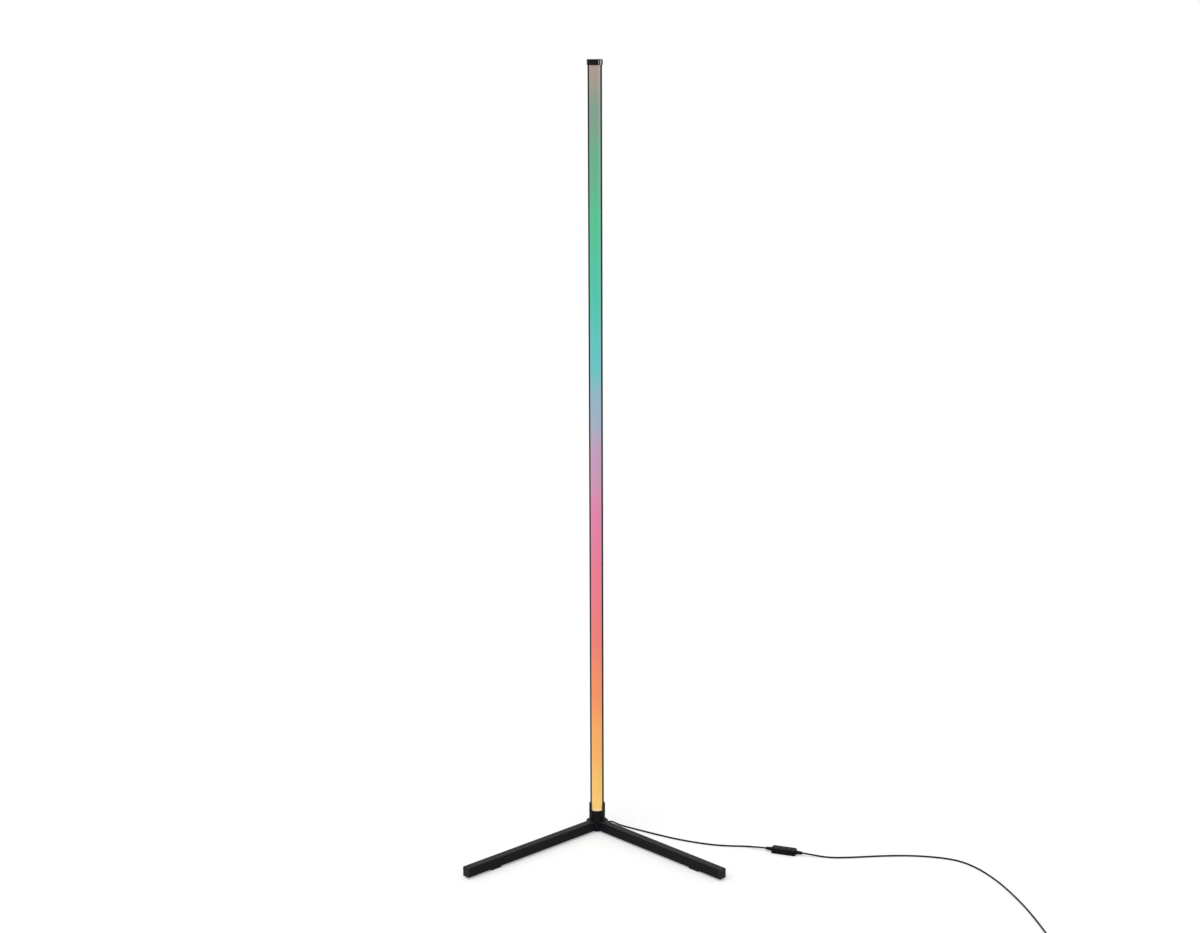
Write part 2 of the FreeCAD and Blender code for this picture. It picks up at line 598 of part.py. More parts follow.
def hub_foot_pad():
    """The soft disc under the hub, which also closes the wiring chamber."""
    pad = rod(HUB_PAD_RADIUS, ORIGIN, Z, HUB_BOTTOM + HUB_PAD_RECESS)
    return pad.makeChamfer(FOOT_EDGE, at_height([e for e in pad.Edges if e.Closed], 0))


# ---- Legs -----------------------------------------------------------------------------------------
def leg_tube():
    """A rounded box tube, drawn along +X, with clearance holes under the spigot's screws."""
    length = LEG_REACH - END_CAP_THICKNESS - LEG_START
    outer = rounded_bar(length, LEG_WIDTH, LEG_HEIGHT, LEG_CORNER, LEG_START, LEG_BOTTOM)
    inner = box((LEG_START, LEG_START + length),
                (-LEG_WIDTH / 2 + LEG_WALL, LEG_WIDTH / 2 - LEG_WALL),
                (LEG_BOTTOM + LEG_WALL, LEG_TOP - LEG_WALL))
    return outer.cut(inner).cut(leg_screw_shanks())


def leg_screw_shanks():
    """The shanks of both screws of one leg."""
    shanks = [rod(LEG_SCREW_RADIUS, V(reach, 0, LEG_BOTTOM), Z, LEG_SCREW_LENGTH)
              for reach in LEG_SCREW_REACHES]
    return Part.makeCompound(shanks)


def leg_screws():
    """The four button-headed screws that hold the legs on their spigots, one group."""
    screws = []
    for side in (-1, 1):
        for reach in LEG_SCREW_REACHES:
            under = V(reach, 0, LEG_BOTTOM)
            head = rod(LEG_HEAD_RADIUS, under, -Z, LEG_HEAD_HEIGHT)
            rim = at_height([e for e in head.Edges if e.Closed], LEG_BOTTOM - LEG_HEAD_HEIGHT)
            head = head.makeFillet(LEG_HEAD_HEIGHT * HEAD_ROUND_SHARE, rim)
            screw = head.fuse(rod(LEG_SCREW_RADIUS, under, Z, LEG_SCREW_LENGTH))
            socket = hexagon_socket(LEG_HEAD_RADIUS, LEG_HEAD_HEIGHT, under - Z * LEG_HEAD_HEIGHT, Z)
            screws.append(turned(screw.cut(socket), leg_angle(side)))
    return Part.makeCompound(screws)


def leg_end_cap():
    """The plastic lid in a leg's end: a face the size of the tube, and a hollow plug inside it."""
    face_start = LEG_REACH - END_CAP_THICKNESS
    face = rounded_bar(END_CAP_THICKNESS, LEG_WIDTH, LEG_HEIGHT, LEG_CORNER, face_start, LEG_BOTTOM)
    rim = [e for e in face.Edges if e.BoundBox.XMin > LEG_REACH - 1e-4]
    face = face.makeFillet(END_CAP_ROUND, rim)
    gap = LEG_WALL + SPIGOT_CLEARANCE
    width, height = LEG_WIDTH - 2 * gap, LEG_HEIGHT - 2 * gap
    plug = box((face_start - END_CAP_PLUG, face_start), (-width / 2, width / 2),
               (LEG_BOTTOM + gap, LEG_TOP - gap))
    wall = END_CAP_WALL
    hollow = box((face_start - END_CAP_PLUG, face_start), (wall - width / 2, width / 2 - wall),
                 (LEG_BOTTOM + gap + wall, LEG_TOP - gap - wall))
    return face.fuse(plug.cut(hollow))


def foot_pad():
    """The rubber foot under a leg, drawn along +X."""
    pad = box((FOOT_REACH - FOOT_LENGTH / 2, FOOT_REACH + FOOT_LENGTH / 2),
              (-FOOT_WIDTH / 2, FOOT_WIDTH / 2), (0, FOOT_THICKNESS))
    pad = pad.makeFillet(FOOT_CORNER, along(pad, Z))
    return pad.makeChamfer(FOOT_EDGE, at_height(pad.Edges, 0))


# ---- Where the lead leaves the hub ----------------------------------------------------------------
def cord_strain_relief():
    """The bush in the hub's wall: a long neck, an outer flange and a short tapered boot."""
    start = V(0, 0, EXIT_HEIGHT)
    neck = rod(RELIEF_NECK_RADIUS, start + EXIT_DIRECTION * RELIEF_INNER_END, EXIT_DIRECTION,
               HUB_RADIUS - RELIEF_INNER_END)
    flange = rod(RELIEF_FLANGE_RADIUS, start + EXIT_DIRECTION * (HUB_RADIUS - RELIEF_FLANGE_THICKNESS),
                 EXIT_DIRECTION, 2 * RELIEF_FLANGE_THICKNESS)
    flange = flange.cut(rod(HUB_RADIUS, ORIGIN, Z, HUB_TOP))
    boot = Part.makeCone(RELIEF_BOOT_ROOT, RELIEF_BOOT_TIP, RELIEF_BOOT_LENGTH,
                         start + EXIT_DIRECTION * (HUB_RADIUS + RELIEF_FLANGE_THICKNESS), EXIT_DIRECTION)
    return neck.fuse(flange).fuse(boot)


def internal_lead():
    """The lead inside the hub: in from the bush, one bend, and up to the strip's connector."""
    height = V(0, 0, EXIT_HEIGHT)
    start = height + EXIT_DIRECTION * RELIEF_INNER_END
    rise = lead_rise()
    bend_start = height + rise + EXIT_DIRECTION * INTERNAL_BEND
    bend_end = height + rise + Z * INTERNAL_BEND
    centre = bend_start + Z * INTERNAL_BEND
    middle = centre + (EXIT_DIRECTION + Z) * (-INTERNAL_BEND * math.sqrt(0.5))
    top = V(rise.x, rise.y, connector_bottom())
    path = Part.Wire([line(start, bend_start), arc(bend_start, middle, bend_end), line(bend_end, top)])
    return tube(path, start, -EXIT_DIRECTION)


# ---- Cord tubes -----------------------------------------------------------------------------------
def tube(path, start, direction):
    """The lead's round section swept along a path."""
    section = Part.Wire([Part.Circle(start, direction, CORD_RADIUS).toShape()])
    return path.makePipeShell([section], True, False)


def rounded_path(points):
    """Straight runs joined by tangent arcs, each as large as its two runs allow."""
    runs = [b - a for a, b in zip(points, points[1:])]
    edges, radii = [], []
    here = points[0]
    for corner, before, after in zip(points[1:], runs, runs[1:]):
        into, out = V(before).normalize(), V(after).normalize()
        half_turn = into.getAngle(out) / 2
        reach = 0.45 * min(before.Length, after.Length)
        radius = reach / math.tan(half_turn)
        start, end = corner - into * reach, corner + out * reach
        towards = (out - into).normalize()
        middle = corner + towards * (radius / math.cos(half_turn) - radius)
        edges += [line(here, start), arc(start, middle, end)]
        radii.append(radius)
        here = end
    edges.append(line(here, points[-1]))
    return Part.Wire(edges), radii


def cord_stretch(name, points):
    """One free stretch of the lead, with its radii, length and volume printed."""
    points = [V(*p) for p in points]
    path, radii = rounded_path(points)
    solid = tube(path, points[0], points[1] - points[0])
    print(name, "length %.1f" % path.Length,
          "volume share %.4f" % (solid.Volume / CORD_SECTION / path.Length),
          "least radius %.1f" % min(radii), "radii", [round(r, 1) for r in radii])
    return solid


# ---- Coil -----------------------------------------------------------------------------------------
def coil_outer_radius():
    return COIL_MIDDLE_RADIUS + COIL_PITCH * COIL_TURNS / 2


def coil_entry_angle():
    """The bearing of the coil's first point, where the spiral runs straight along -Y."""
    return math.atan(COIL_PITCH / (2 * math.pi * coil_outer_radius()))


def coil_centre():
    """The coil's axis, set so that the spiral begins at COIL_START."""
    radius, angle = coil_outer_radius(), coil_entry_angle()
    return COIL_START - V(radius * math.cos(angle), radius * math.sin(angle), 0)


def coil_point(turn):
    """The lead's centre, for a turn counted from the middle of the coil, where the spiral reverses."""
    inner = coil_outer_radius() - COIL_PITCH * COIL_TURNS
    away = abs(turn)
    if away < COIL_REVERSAL:
        away = (away ** 2 / COIL_REVERSAL + COIL_REVERSAL) / 2
    radius = inner + COIL_PITCH * away
    climb = min(max(turn / COIL_CLIMB + 0.5, 0.0), 1.0)
    climb = climb * climb * (3 - 2 * climb)
    height = TIE_THICKNESS + TIE_SLACK + CORD_RADIUS + COIL_PITCH * climb
    angle = coil_entry_angle() - 2 * math.pi * (turn + COIL_TURNS)
    return coil_centre() + V(radius * math.cos(angle), radius * math.sin(angle), height)


def coil_heading(turn):
    step = 1e-5
    return (coil_point(turn + step) - coil_point(turn - step)).normalize()


def biarc(start, start_heading, end, end_heading):
    """Two arcs in space that leave one point and reach another along given headings."""
    span = end - start
    a = 2 * (start_heading.dot(end_heading) - 1)
    b = -2 * span.dot(start_heading + end_heading)
    c = span.dot(span)
    reach = (-b - math.sqrt(b * b - 4 * a * c)) / (2 * a)
    first, second = start + start_heading * reach, end - end_heading * reach
    join = (first + second) * 0.5
    return [tangent_arc(start, first, join), tangent_arc(join, second, end)]


def tangent_arc(start, corner, end):
    """The arc inside a corner whose two sides are equally long."""
    into, out = (corner - start).normalize(), (end - corner).normalize()
    half_turn = into.getAngle(out) / 2
    radius = (corner - start).Length / math.tan(half_turn)
    towards = (out - into).normalize()
    return arc(start, corner + towards * (radius / math.cos(half_turn) - radius), end)


def coil_ends():
    """The coil's first and last centre points, with a straight of one diameter at each."""
    first, last = coil_point(-COIL_TURNS), coil_point(COIL_TURNS)
    straight = 2 * CORD_RADIUS
    return first - coil_heading(-COIL_TURNS) * straight, last + coil_heading(COIL_TURNS) * straight


def cord_coil():
    """Two layers of turns: in along the floor, up a layer where the spiral reverses, and out again."""
    quarters = [i / 4 for i in range(-4 * COIL_TURNS, 4 * COIL_TURNS + 1)]
    entry, way_out = coil_ends()
    edges = [line(entry, coil_point(quarters[0]))]
    for a, b in zip(quarters, quarters[1:]):
        edges += biarc(coil_point(a), coil_heading(a), coil_point(b), coil_heading(b))
    edges.append(line(coil_point(quarters[-1]), way_out))
    path = Part.Wire(edges)
    solid = tube(path, entry, coil_heading(quarters[0]))
    print("cord_coil length %.1f" % path.Length,
          "volume share %.4f" % (solid.Volume / CORD_SECTION / path.Length),
          "least gap %.2f" % coil_least_gap(), "leaves at", way_out)
    return solid


def coil_least_gap():
    """The least distance between the coil's own turns, on points along it."""
    per_turn = 36
    count = 2 * COIL_TURNS * per_turn
    points = [coil_point(i / per_turn - COIL_TURNS) for i in range(count + 1)]
    gaps = [(points[i] - points[j]).Length for i in range(len(points))
            for j in range(i + per_turn // 3, len(points))]
    return min(gaps) - 2 * CORD_RADIUS


def coil_tie():
    """The strap round all the turns, on the far side from the coil's ends."""
    nearest = coil_outer_radius() - COIL_PITCH * (COIL_TURNS - 0.5) - CORD_RADIUS
    inner = math.sqrt(nearest ** 2 - (TIE_WIDTH / 2) ** 2) - TIE_CLEARANCE
    outer = coil_outer_radius() - COIL_PITCH / 2 + CORD_RADIUS + TIE_CLEARANCE
    top = TIE_THICKNESS + TIE_SLACK + 2 * CORD_RADIUS + COIL_PITCH + TIE_CLEARANCE
    across = (-TIE_WIDTH / 2, TIE_WIDTH / 2)
    hole = box((inner, outer), across, (TIE_THICKNESS, top))
    hole = hole.makeFillet(TIE_CORNER, along(hole, Y))
    band = box((inner - TIE_THICKNESS, outer + TIE_THICKNESS), across, (0, top + TIE_THICKNESS))
    band = band.makeFillet(TIE_CORNER + TIE_THICKNESS, along(band, Y))
    tab_start = (inner + outer) / 2
    tab = box((tab_start, tab_start + TIE_TAB), across, (top + TIE_THICKNESS, top + 2 * TIE_THICKNESS))
    tie = band.cut(hole).fuse(tab)
    tie = turned(tie, 180 + math.degrees(coil_entry_angle()))
    return tie.translated(coil_centre())


# ---- Inline controller ----------------------------------------------------------------------------
def placed(shape):
    """A controller piece, drawn along +X about the origin, moved to where it lies."""
    return turned(shape, CONTROLLER_HEADING).translated(CONTROLLER_CENTRE)


def case_outline(inset, low, high):
    """The controller's plan, a bar with rounded corners, between two heights."""
    bar = centred(CONTROLLER_LENGTH - 2 * inset, CONTROLLER_WIDTH - 2 * inset, (low, high))
    return bar.makeFillet(CONTROLLER_CORNER - inset, along(bar, Z))


def case_block():
    """The controller's outside, rounded over the top and bevelled underneath."""
    block = case_outline(0, 0, CONTROLLER_HEIGHT)
    block = block.makeFillet(CONTROLLER_EDGE, at_height(block.Edges, CONTROLLER_HEIGHT))
    return block.makeChamfer(CONTROLLER_FOOT_EDGE, at_height(block.Edges, 0))


def case_inside():
    return case_outline(CONTROLLER_WALL, CONTROLLER_WALL, CONTROLLER_HEIGHT - CONTROLLER_WALL)


def post_places():
    """Two screw posts, at opposite corners of the case."""
    along_case, across = POST_SPACING_ALONG / 2, POST_SPACING_ACROSS / 2
    return [V(-along_case, across, 0), V(along_case, -across, 0)]


def boot_blank(side):
    """One strain relief, before its rings are cut."""
    end = CONTROLLER_LENGTH / 2
    start = V(side * end, 0, CONTROLLER_AXIS)
    outward = X * side
    tongue = rod(BOOT_ROOT, start - outward * BOOT_TONGUE, outward, BOOT_TONGUE)
    return tongue.fuse(Part.makeCone(BOOT_ROOT, BOOT_TIP, BOOT_LENGTH, start, outward))


def strain_relief(side):
    """The tapered boot at one end of the controller, with rings cut round it so that it bends."""
    boot = boot_blank(side)
    step = BOOT_LENGTH / (BOOT_RING_COUNT + 1)
    for i in range(BOOT_RING_COUNT):
        reach = CONTROLLER_LENGTH / 2 + step * (i + 1) - BOOT_RING_WIDTH / 2
        radius = BOOT_ROOT + (BOOT_TIP - BOOT_ROOT) * step * (i + 1) / BOOT_LENGTH - BOOT_RING_DEPTH
        start = V(side * reach, 0, CONTROLLER_AXIS)
        ring = rod(BOOT_ROOT + CUT_MARGIN, start, X * side, BOOT_RING_WIDTH)
        boot = boot.cut(ring.cut(rod(radius, start, X * side, BOOT_RING_WIDTH)))
    return placed(boot)


def controller_base():
    """The lower shell, with its screw bosses and a pair of ribs under the circuit board."""
    shell = case_block().cut(case_inside())
    shell = shell.common(centred(CONTROLLER_LENGTH, CONTROLLER_WIDTH, (0, CONTROLLER_SPLIT)))
    floor = CONTROLLER_WALL
    for side in (-1, 1):
        shell = shell.cut(boot_blank(side))
        rib = centred(RIB_THICKNESS, CIRCUIT_WIDTH, (floor, CIRCUIT_TOP - CIRCUIT_THICKNESS))
        shell = shell.fuse(rib.translated(V(side * RIB_OFFSET, 0, 0)))
    for place in post_places():
        head = rod(CASE_HEAD_RADIUS, place, Z, CASE_HEAD_HEIGHT)
        shank = rod(CASE_SCREW_RADIUS, place, Z, CASE_SCREW_LENGTH)
        boss = rod(POST_RADIUS, place, Z, CIRCUIT_TOP - CIRCUIT_THICKNESS)
        shell = shell.fuse(boss.common(case_block())).cut(head).cut(shank)
    return placed(shell.removeSplitter())


def controller_cover():
    """The upper shell, with the button holes and the posts that the case screws bite into."""
    shell = case_block().cut(case_inside())
    shell = shell.common(centred(CONTROLLER_LENGTH, CONTROLLER_WIDTH,
                                 (CONTROLLER_SPLIT, CONTROLLER_HEIGHT)))
    for side in (-1, 1):
        shell = shell.cut(boot_blank(side))
    for place in button_places():
        shell = shell.cut(rod(BUTTON_RADIUS + BUTTON_GAP, place, Z, CONTROLLER_HEIGHT + CUT_MARGIN))
    under = CONTROLLER_HEIGHT - CONTROLLER_WALL
    for place in post_places():
        foot = place + Z * (CIRCUIT_TOP - CIRCUIT_THICKNESS)
        post = rod(POST_RADIUS, foot, Z, under - foot.z)
        shell = shell.fuse(post.cut(rod(CASE_SCREW_RADIUS, place, Z, CASE_SCREW_LENGTH)))
    return placed(shell.removeSplitter())


def controller_board():
    """The circuit board, on the base's ribs between the two posts."""
    return placed(centred(CIRCUIT_LENGTH, CIRCUIT_WIDTH, (CIRCUIT_TOP - CIRCUIT_THICKNESS, CIRCUIT_TOP)))


def controller_switches():
    """A tactile switch under each button, one group."""
    switches = []
    for place in button_places():
        case = centred(SWITCH_SIZE, SWITCH_SIZE, (CIRCUIT_TOP, CIRCUIT_TOP + SWITCH_HEIGHT))
        plunger = rod(PLUNGER_RADIUS, V(0, 0, CIRCUIT_TOP + SWITCH_HEIGHT), Z, PLUNGER_HEIGHT)
        switches.append(case.fuse(plunger).translated(place))
    return placed(Part.makeCompound(switches))


def controller_screws():
    """The two small screws in the underside of the case, one group."""
    screws = []
    for place in post_places():
        foot = place + Z * CASE_SCREW_SINK
        head = rod(CASE_HEAD_RADIUS, foot, Z, CASE_HEAD_HEIGHT - CASE_SCREW_SINK)
        screws.append(head.fuse(rod(CASE_SCREW_RADIUS, foot, Z, CASE_SCREW_LENGTH - CASE_SCREW_SINK)))
    return placed(Part.makeCompound(screws))


def button_places():
    middle = (len(BUTTON_NAMES) - 1) / 2
    return [V((i - middle) * BUTTON_SPACING, 0, 0) for i in range(len(BUTTON_NAMES))]


def button(place):
    """A push button: a dished cap through the cover and a flange that keeps it in."""
    flange_top = CONTROLLER_HEIGHT - CONTROLLER_WALL - BUTTON_SPARE
    foot = SWITCH_TOP + BUTTON_TRAVEL + BUTTON_SPARE
    top = CONTROLLER_HEIGHT + BUTTON_RISE
    cap = rod(BUTTON_RADIUS, V(0, 0, foot), Z, top - foot)
    cap = cap.makeFillet(BUTTON_ROUND, at_height([e for e in cap.Edges if e.Closed], top))
    flange = rod(BUTTON_RADIUS + BUTTON_FLANGE, V(0, 0, flange_top), -Z, BUTTON_FLANGE_THICKNESS)
    dish = Part.makeSphere(BUTTON_DISH_RADIUS, V(0, 0, top + BUTTON_DISH_RADIUS - BUTTON_DISH))
    return placed(cap.fuse(flange).cut(dish).translated(place))


# ---- Plug -----------------------------------------------------------------------------------------
def plugged(shape):
    """A plug piece, drawn along +X from the end of the boot, turned to where the plug lies."""
    end = V(*TAIL_ROUTE[-1])
    return turned(shape, 180).translated(V(end.x, end.y, PLUG_AXIS))


def plug_strain_relief():
    """The tapered boot where the lead enters the plug."""
    return plugged(Part.makeCone(PLUG_BOOT_TIP, PLUG_BOOT_ROOT, PLUG_BOOT_LENGTH, ORIGIN, X))


def shell_start():
    return PLUG_BOOT_LENGTH + PLUG_LENGTH - SHELL_ROOT


def shell_mouth():
    return PLUG_BOOT_LENGTH + PLUG_LENGTH + SHELL_LENGTH


def shell_block():
    """The outside of the plug's metal shell."""
    block = box((shell_start(), shell_mouth()), (-SHELL_WIDTH / 2, SHELL_WIDTH / 2),
                (-SHELL_THICKNESS / 2, SHELL_THICKNESS / 2))
    return block.makeFillet(SHELL_CORNER, along(block, X))


def plug_overmould():
    """The moulded grip, narrower towards the shell, around the shell's root."""
    half_width, half_thick = PLUG_WIDTH / 2, PLUG_THICKNESS / 2
    start, end = PLUG_BOOT_LENGTH, PLUG_BOOT_LENGTH + PLUG_LENGTH
    block = box((start, end), (-half_width, half_width), (-half_thick, half_thick))
    block = block.makeFillet(PLUG_CORNER, along(block, X))
    back = [e for e in block.Edges if e.BoundBox.XMax < start + 1e-4]
    block = block.makeChamfer(PLUG_NOSE_TAPER, back)
    return plugged(block.cut(shell_block()))


def plug_shell():
    """The folded metal shell, open at its nose, with the four latch windows."""
    wall = SHELL_WALL
    inside = box((shell_start() + wall, shell_mouth() + CUT_MARGIN),
                 (wall - SHELL_WIDTH / 2, SHELL_WIDTH / 2 - wall),
                 (wall - SHELL_THICKNESS / 2, SHELL_THICKNESS / 2 - wall))
    shell = shell_block().cut(inside)
    middle = shell_mouth() - SHELL_LENGTH / 2
    for side in (-1, 1):
        window = centred(SHELL_WINDOW, SHELL_WINDOW, (-SHELL_THICKNESS, SHELL_THICKNESS))
        shell = shell.cut(window.translated(V(middle, side * SHELL_WINDOW_SPACING / 2, 0)))
    return plugged(shell)


def tongue_top():
    return -SHELL_THICKNESS / 2 + SHELL_WALL + TONGUE_THICKNESS


def contact_bars():
    """The four flat contacts, along +X before the plug is turned."""
    bars = []
    start = shell_start() + SHELL_WALL
    end = shell_mouth() - CONTACT_SETBACK
    for i in range(CONTACT_COUNT):
        middle = (i - (CONTACT_COUNT - 1) / 2) * CONTACT_SPACING
        bars.append(box((start, end), (middle - CONTACT_WIDTH / 2, middle + CONTACT_WIDTH / 2),
                        (tongue_top() - CONTACT_THICKNESS, tongue_top())))
    return Part.makeCompound(bars)


def plug_insulator():
    """The white tongue on the lower half of the shell, grooved for the contacts."""
    start = shell_start() + SHELL_WALL
    end = shell_mouth() - TONGUE_SETBACK
    half_width = SHELL_WIDTH / 2 - SHELL_WALL
    tongue = box((start, end), (-half_width, half_width),
                 (SHELL_WALL - SHELL_THICKNESS / 2, tongue_top()))
    return plugged(tongue.cut(contact_bars()))


def plug_contacts():
    return plugged(contact_bars())


# ---- Build ----------------------------------------------------------------------------------------
def build():
    os.makedirs("parts", exist_ok=True)
    for i in range(SECTION_COUNT):
        save("pole_section_%d" % (i + 1), pole_section(i))
    for i, height in enumerate(JOINT_HEIGHTS):
        save("pole_joiner_%d" % (i + 1), pole_joiner(height))
    save("pole_screws", pole_screws())
    save("pole_foot_plug", pole_foot_plug())
    save("socket_screw", socket_screw())
    save("top_cap", top_cap())
    save("diffuser_strip", diffuser_strip())
    save("led_board", led_board())
    save("led_packages", led_packages())
    save("strip_connector", strip_connector())
    save("internal_lead", internal_lead())
    save("base_hub", base_hub())
    save("hub_foot_pad", hub_foot_pad())
    for name, side in (("left", -1), ("right", 1)):
        save(name + "_leg_tube", turned(leg_tube(), leg_angle(side)))
        save(name + "_leg_end_cap", turned(leg_end_cap(), leg_angle(side)))
        save(name + "_foot_pad", turned(foot_pad(), leg_angle(side)))
    save("leg_screws", leg_screws())
    save("cord_strain_relief", cord_strain_relief())
    save("cord_lamp_side", cord_stretch("cord_lamp_side", LAMP_SIDE_ROUTE))
    save("strain_relief_in", strain_relief(-1))
    save("strain_relief_out", strain_relief(1))
    save("controller_base", controller_base())
    save("controller_cover", controller_cover())
    save("controller_board", controller_board())
    save("controller_switches", controller_switches())
    save("controller_screws", controller_screws())
    for name, place in zip(BUTTON_NAMES, button_places()):
        save("button_" + name, button(place))
    save("cord_plug_side", cord_stretch("cord_plug_side", PLUG_SIDE_ROUTE))
    save("cord_coil", cord_coil())
    save("coil_tie", coil_tie())
    save("cord_tail", cord_stretch("cord_tail", TAIL_ROUTE))
    save("plug_strain_relief", plug_strain_relief())
    save("plug_overmould", plug_overmould())
    save("plug_shell", plug_shell())
    save("plug_insulator", plug_insulator())
    save("plug_contacts", plug_contacts())


build()
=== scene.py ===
# %% [markdown]
# # A corner floor lamp
# The lamp is a black channel of aluminium, as slim as a broom handle, with an opal strip down its
# front. It stands in a round casting with two box-tube legs, and a thin lead with a small
# controller feeds it. Its solids come ready made from the CAD frame, in metres, each piece in its
# place, so the lesson is about what solids can't give: finishes, soft things, and a lead that lies
# as it fell.

# %% Load the lamp's solids
import json
import math

import bmesh
import bpy
from mathutils import Matrix, Vector

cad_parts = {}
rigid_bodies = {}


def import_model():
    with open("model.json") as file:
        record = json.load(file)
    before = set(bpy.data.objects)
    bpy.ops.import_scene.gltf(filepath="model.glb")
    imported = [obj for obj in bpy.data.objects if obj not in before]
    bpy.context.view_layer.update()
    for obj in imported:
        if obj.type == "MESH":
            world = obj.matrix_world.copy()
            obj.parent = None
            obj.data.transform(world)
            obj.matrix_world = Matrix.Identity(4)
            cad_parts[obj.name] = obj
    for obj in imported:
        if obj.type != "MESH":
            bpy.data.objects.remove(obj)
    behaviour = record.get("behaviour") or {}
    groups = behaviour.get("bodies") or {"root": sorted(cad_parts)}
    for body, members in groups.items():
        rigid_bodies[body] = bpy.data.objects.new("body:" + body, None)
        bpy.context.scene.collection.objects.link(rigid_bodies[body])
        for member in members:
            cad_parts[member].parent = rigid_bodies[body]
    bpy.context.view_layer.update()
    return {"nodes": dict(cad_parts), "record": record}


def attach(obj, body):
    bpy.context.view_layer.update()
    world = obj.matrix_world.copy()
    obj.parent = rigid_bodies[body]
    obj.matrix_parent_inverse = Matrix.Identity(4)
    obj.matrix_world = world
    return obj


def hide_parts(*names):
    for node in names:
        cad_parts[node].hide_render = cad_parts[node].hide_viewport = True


for leftover in list(bpy.data.objects):
    bpy.data.objects.remove(leftover)
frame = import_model()
MM = 0.001
UP = Vector((0, 0, 1))

# %% [markdown]
# ## The camera
# A lamp 1.4 m tall was photographed from about 3.5 m away, from just above its top and looking
# down a little, so its feet open towards us. The place, the turn and the lens were worked out from
# the edges of the pole and the legs, and the last hundredths of a degree were set so that a
# piece put where the CAD says lands where it should.

# %% Set up the camera
CAMERA_PLACE = (0.0889, -3.5612, 1.4802)
CAMERA_TURN, CAMERA_DIP, CAMERA_ROLL = 1.317, 12.530, -0.160    # degrees
CAMERA_LENS, CAMERA_SENSOR = 61.515, 36.0                       # mm
camera_data = bpy.data.cameras.new("camera")
camera_data.lens = CAMERA_LENS
camera_data.sensor_width = CAMERA_SENSOR
camera = bpy.data.objects.new("camera", camera_data)
bpy.context.scene.collection.objects.link(camera)
camera.matrix_world = (Matrix.Translation(CAMERA_PLACE)
                       @ Matrix.Rotation(math.radians(CAMERA_TURN), 4, "Z")
                       @ Matrix.Rotation(math.radians(90.0 - CAMERA_DIP), 4, "X")
                       @ Matrix.Rotation(math.radians(CAMERA_ROLL), 4, "Z"))
bpy.context.scene.camera = camera
bpy.context.scene.view_settings.view_transform = "Standard"
print("camera", round(math.dist(CAMERA_PLACE, (0, 0, 0.7)), 2), "m from the middle of the pole")

# %% [markdown]
# ## The lead
# The real lead is a limp round cord 3 mm thick. It leaves the back of the hub through a rubber
# bush, drops to the floor and wanders in slow curves. One NURBS line does this well: its few points
# are pulled on like magnets, so it never kinks. The order and the end points are set after the
# points are there, because a new spline of two points can't hold them.

# %% A lead along listed points
LEAD_DIAMETER = 3.0 * MM
LEAD_SIDES_SETTING = 4       # gives a section of 12 sides
LEAD_STEPS = 6               # from one point to the next


def lay_lead(name, points):
    """One open NURBS line with the lead's round section."""
    curve = bpy.data.curves.new(name, "CURVE")
    curve.dimensions = "3D"
    curve.bevel_depth = LEAD_DIAMETER / 2
    curve.bevel_resolution = LEAD_SIDES_SETTING
    curve.resolution_u = LEAD_STEPS
    curve.use_fill_caps = True
    spline = curve.splines.new("NURBS")
    spline.points.add(len(points) - 1)
    for point, place in zip(spline.points, points):
        point.co = (*place, 1.0)
    spline.order_u = 3
    spline.use_endpoint_u = True
    lead = bpy.data.objects.new(name, curve)
    bpy.context.scene.collection.objects.link(lead)
    print(name, len(points), "points")
    return lead


# %% From the hub to the controller
LAMP_SIDE_ROUTE = [
    (0.0181, 0.0181, 0.007), (0.0213, 0.0213, 0.007), (0.0264, 0.0233, 0.0062),
    (0.0321, 0.0229, 0.0041), (0.0379, 0.0202, 0.0022), (0.0456, 0.0154, 0.0015),
    (0.06, 0.0062, 0.0015), (0.082, -0.0082, 0.0015), (0.1095, -0.0254, 0.0015),
    (0.1385, -0.0426, 0.0015), (0.167, -0.0564, 0.0015), (0.194, -0.0668, 0.0015),
    (0.22, -0.0742, 0.0015), (0.246, -0.0772, 0.0015), (0.2685, -0.0776, 0.0015),
    (0.281, -0.082, 0.0024), (0.2908, -0.0873, 0.004), (0.2993, -0.0913, 0.005),
    (0.3069, -0.0939, 0.005),
]
lamp_lead = lay_lead("lamp_lead", LAMP_SIDE_ROUTE)

# %% [markdown]
# ## The coil
# The last stretch isn't needed on the floor, so it is wound up as it comes in its box: three turns
# inwards, up onto them, and three turns out again, a little over a lead's width apart. A loop works
# out these points with a spiral's own rule, and they belong to the same line as the free stretch,
# as the real coil is the same piece of lead.

# %% The coil's rule
COIL_START = Vector((0.751, -0.488, 0.0))
COIL_TURNS = 3               # in each of the two layers
COIL_POINTS_A_TURN = 24
COIL_PITCH = 3.6 * MM
COIL_MIDDLE = 18.0 * MM      # mean radius
COIL_OUTER = COIL_MIDDLE + COIL_PITCH * COIL_TURNS / 2
COIL_REVERSAL = 0.25         # turns either side of the middle, over which the spiral turns back
COIL_CLIMB = 0.5             # turns in which it climbs onto the lower layer
TIE_THICKNESS = 0.6 * MM
TIE_SLACK = 0.05 * MM
COIL_FLOOR = TIE_THICKNESS + TIE_SLACK + LEAD_DIAMETER / 2
COIL_ENTRY = math.atan(COIL_PITCH / (2 * math.pi * COIL_OUTER))
COIL_CENTRE = COIL_START - COIL_OUTER * Vector((math.cos(COIL_ENTRY), math.sin(COIL_ENTRY), 0))


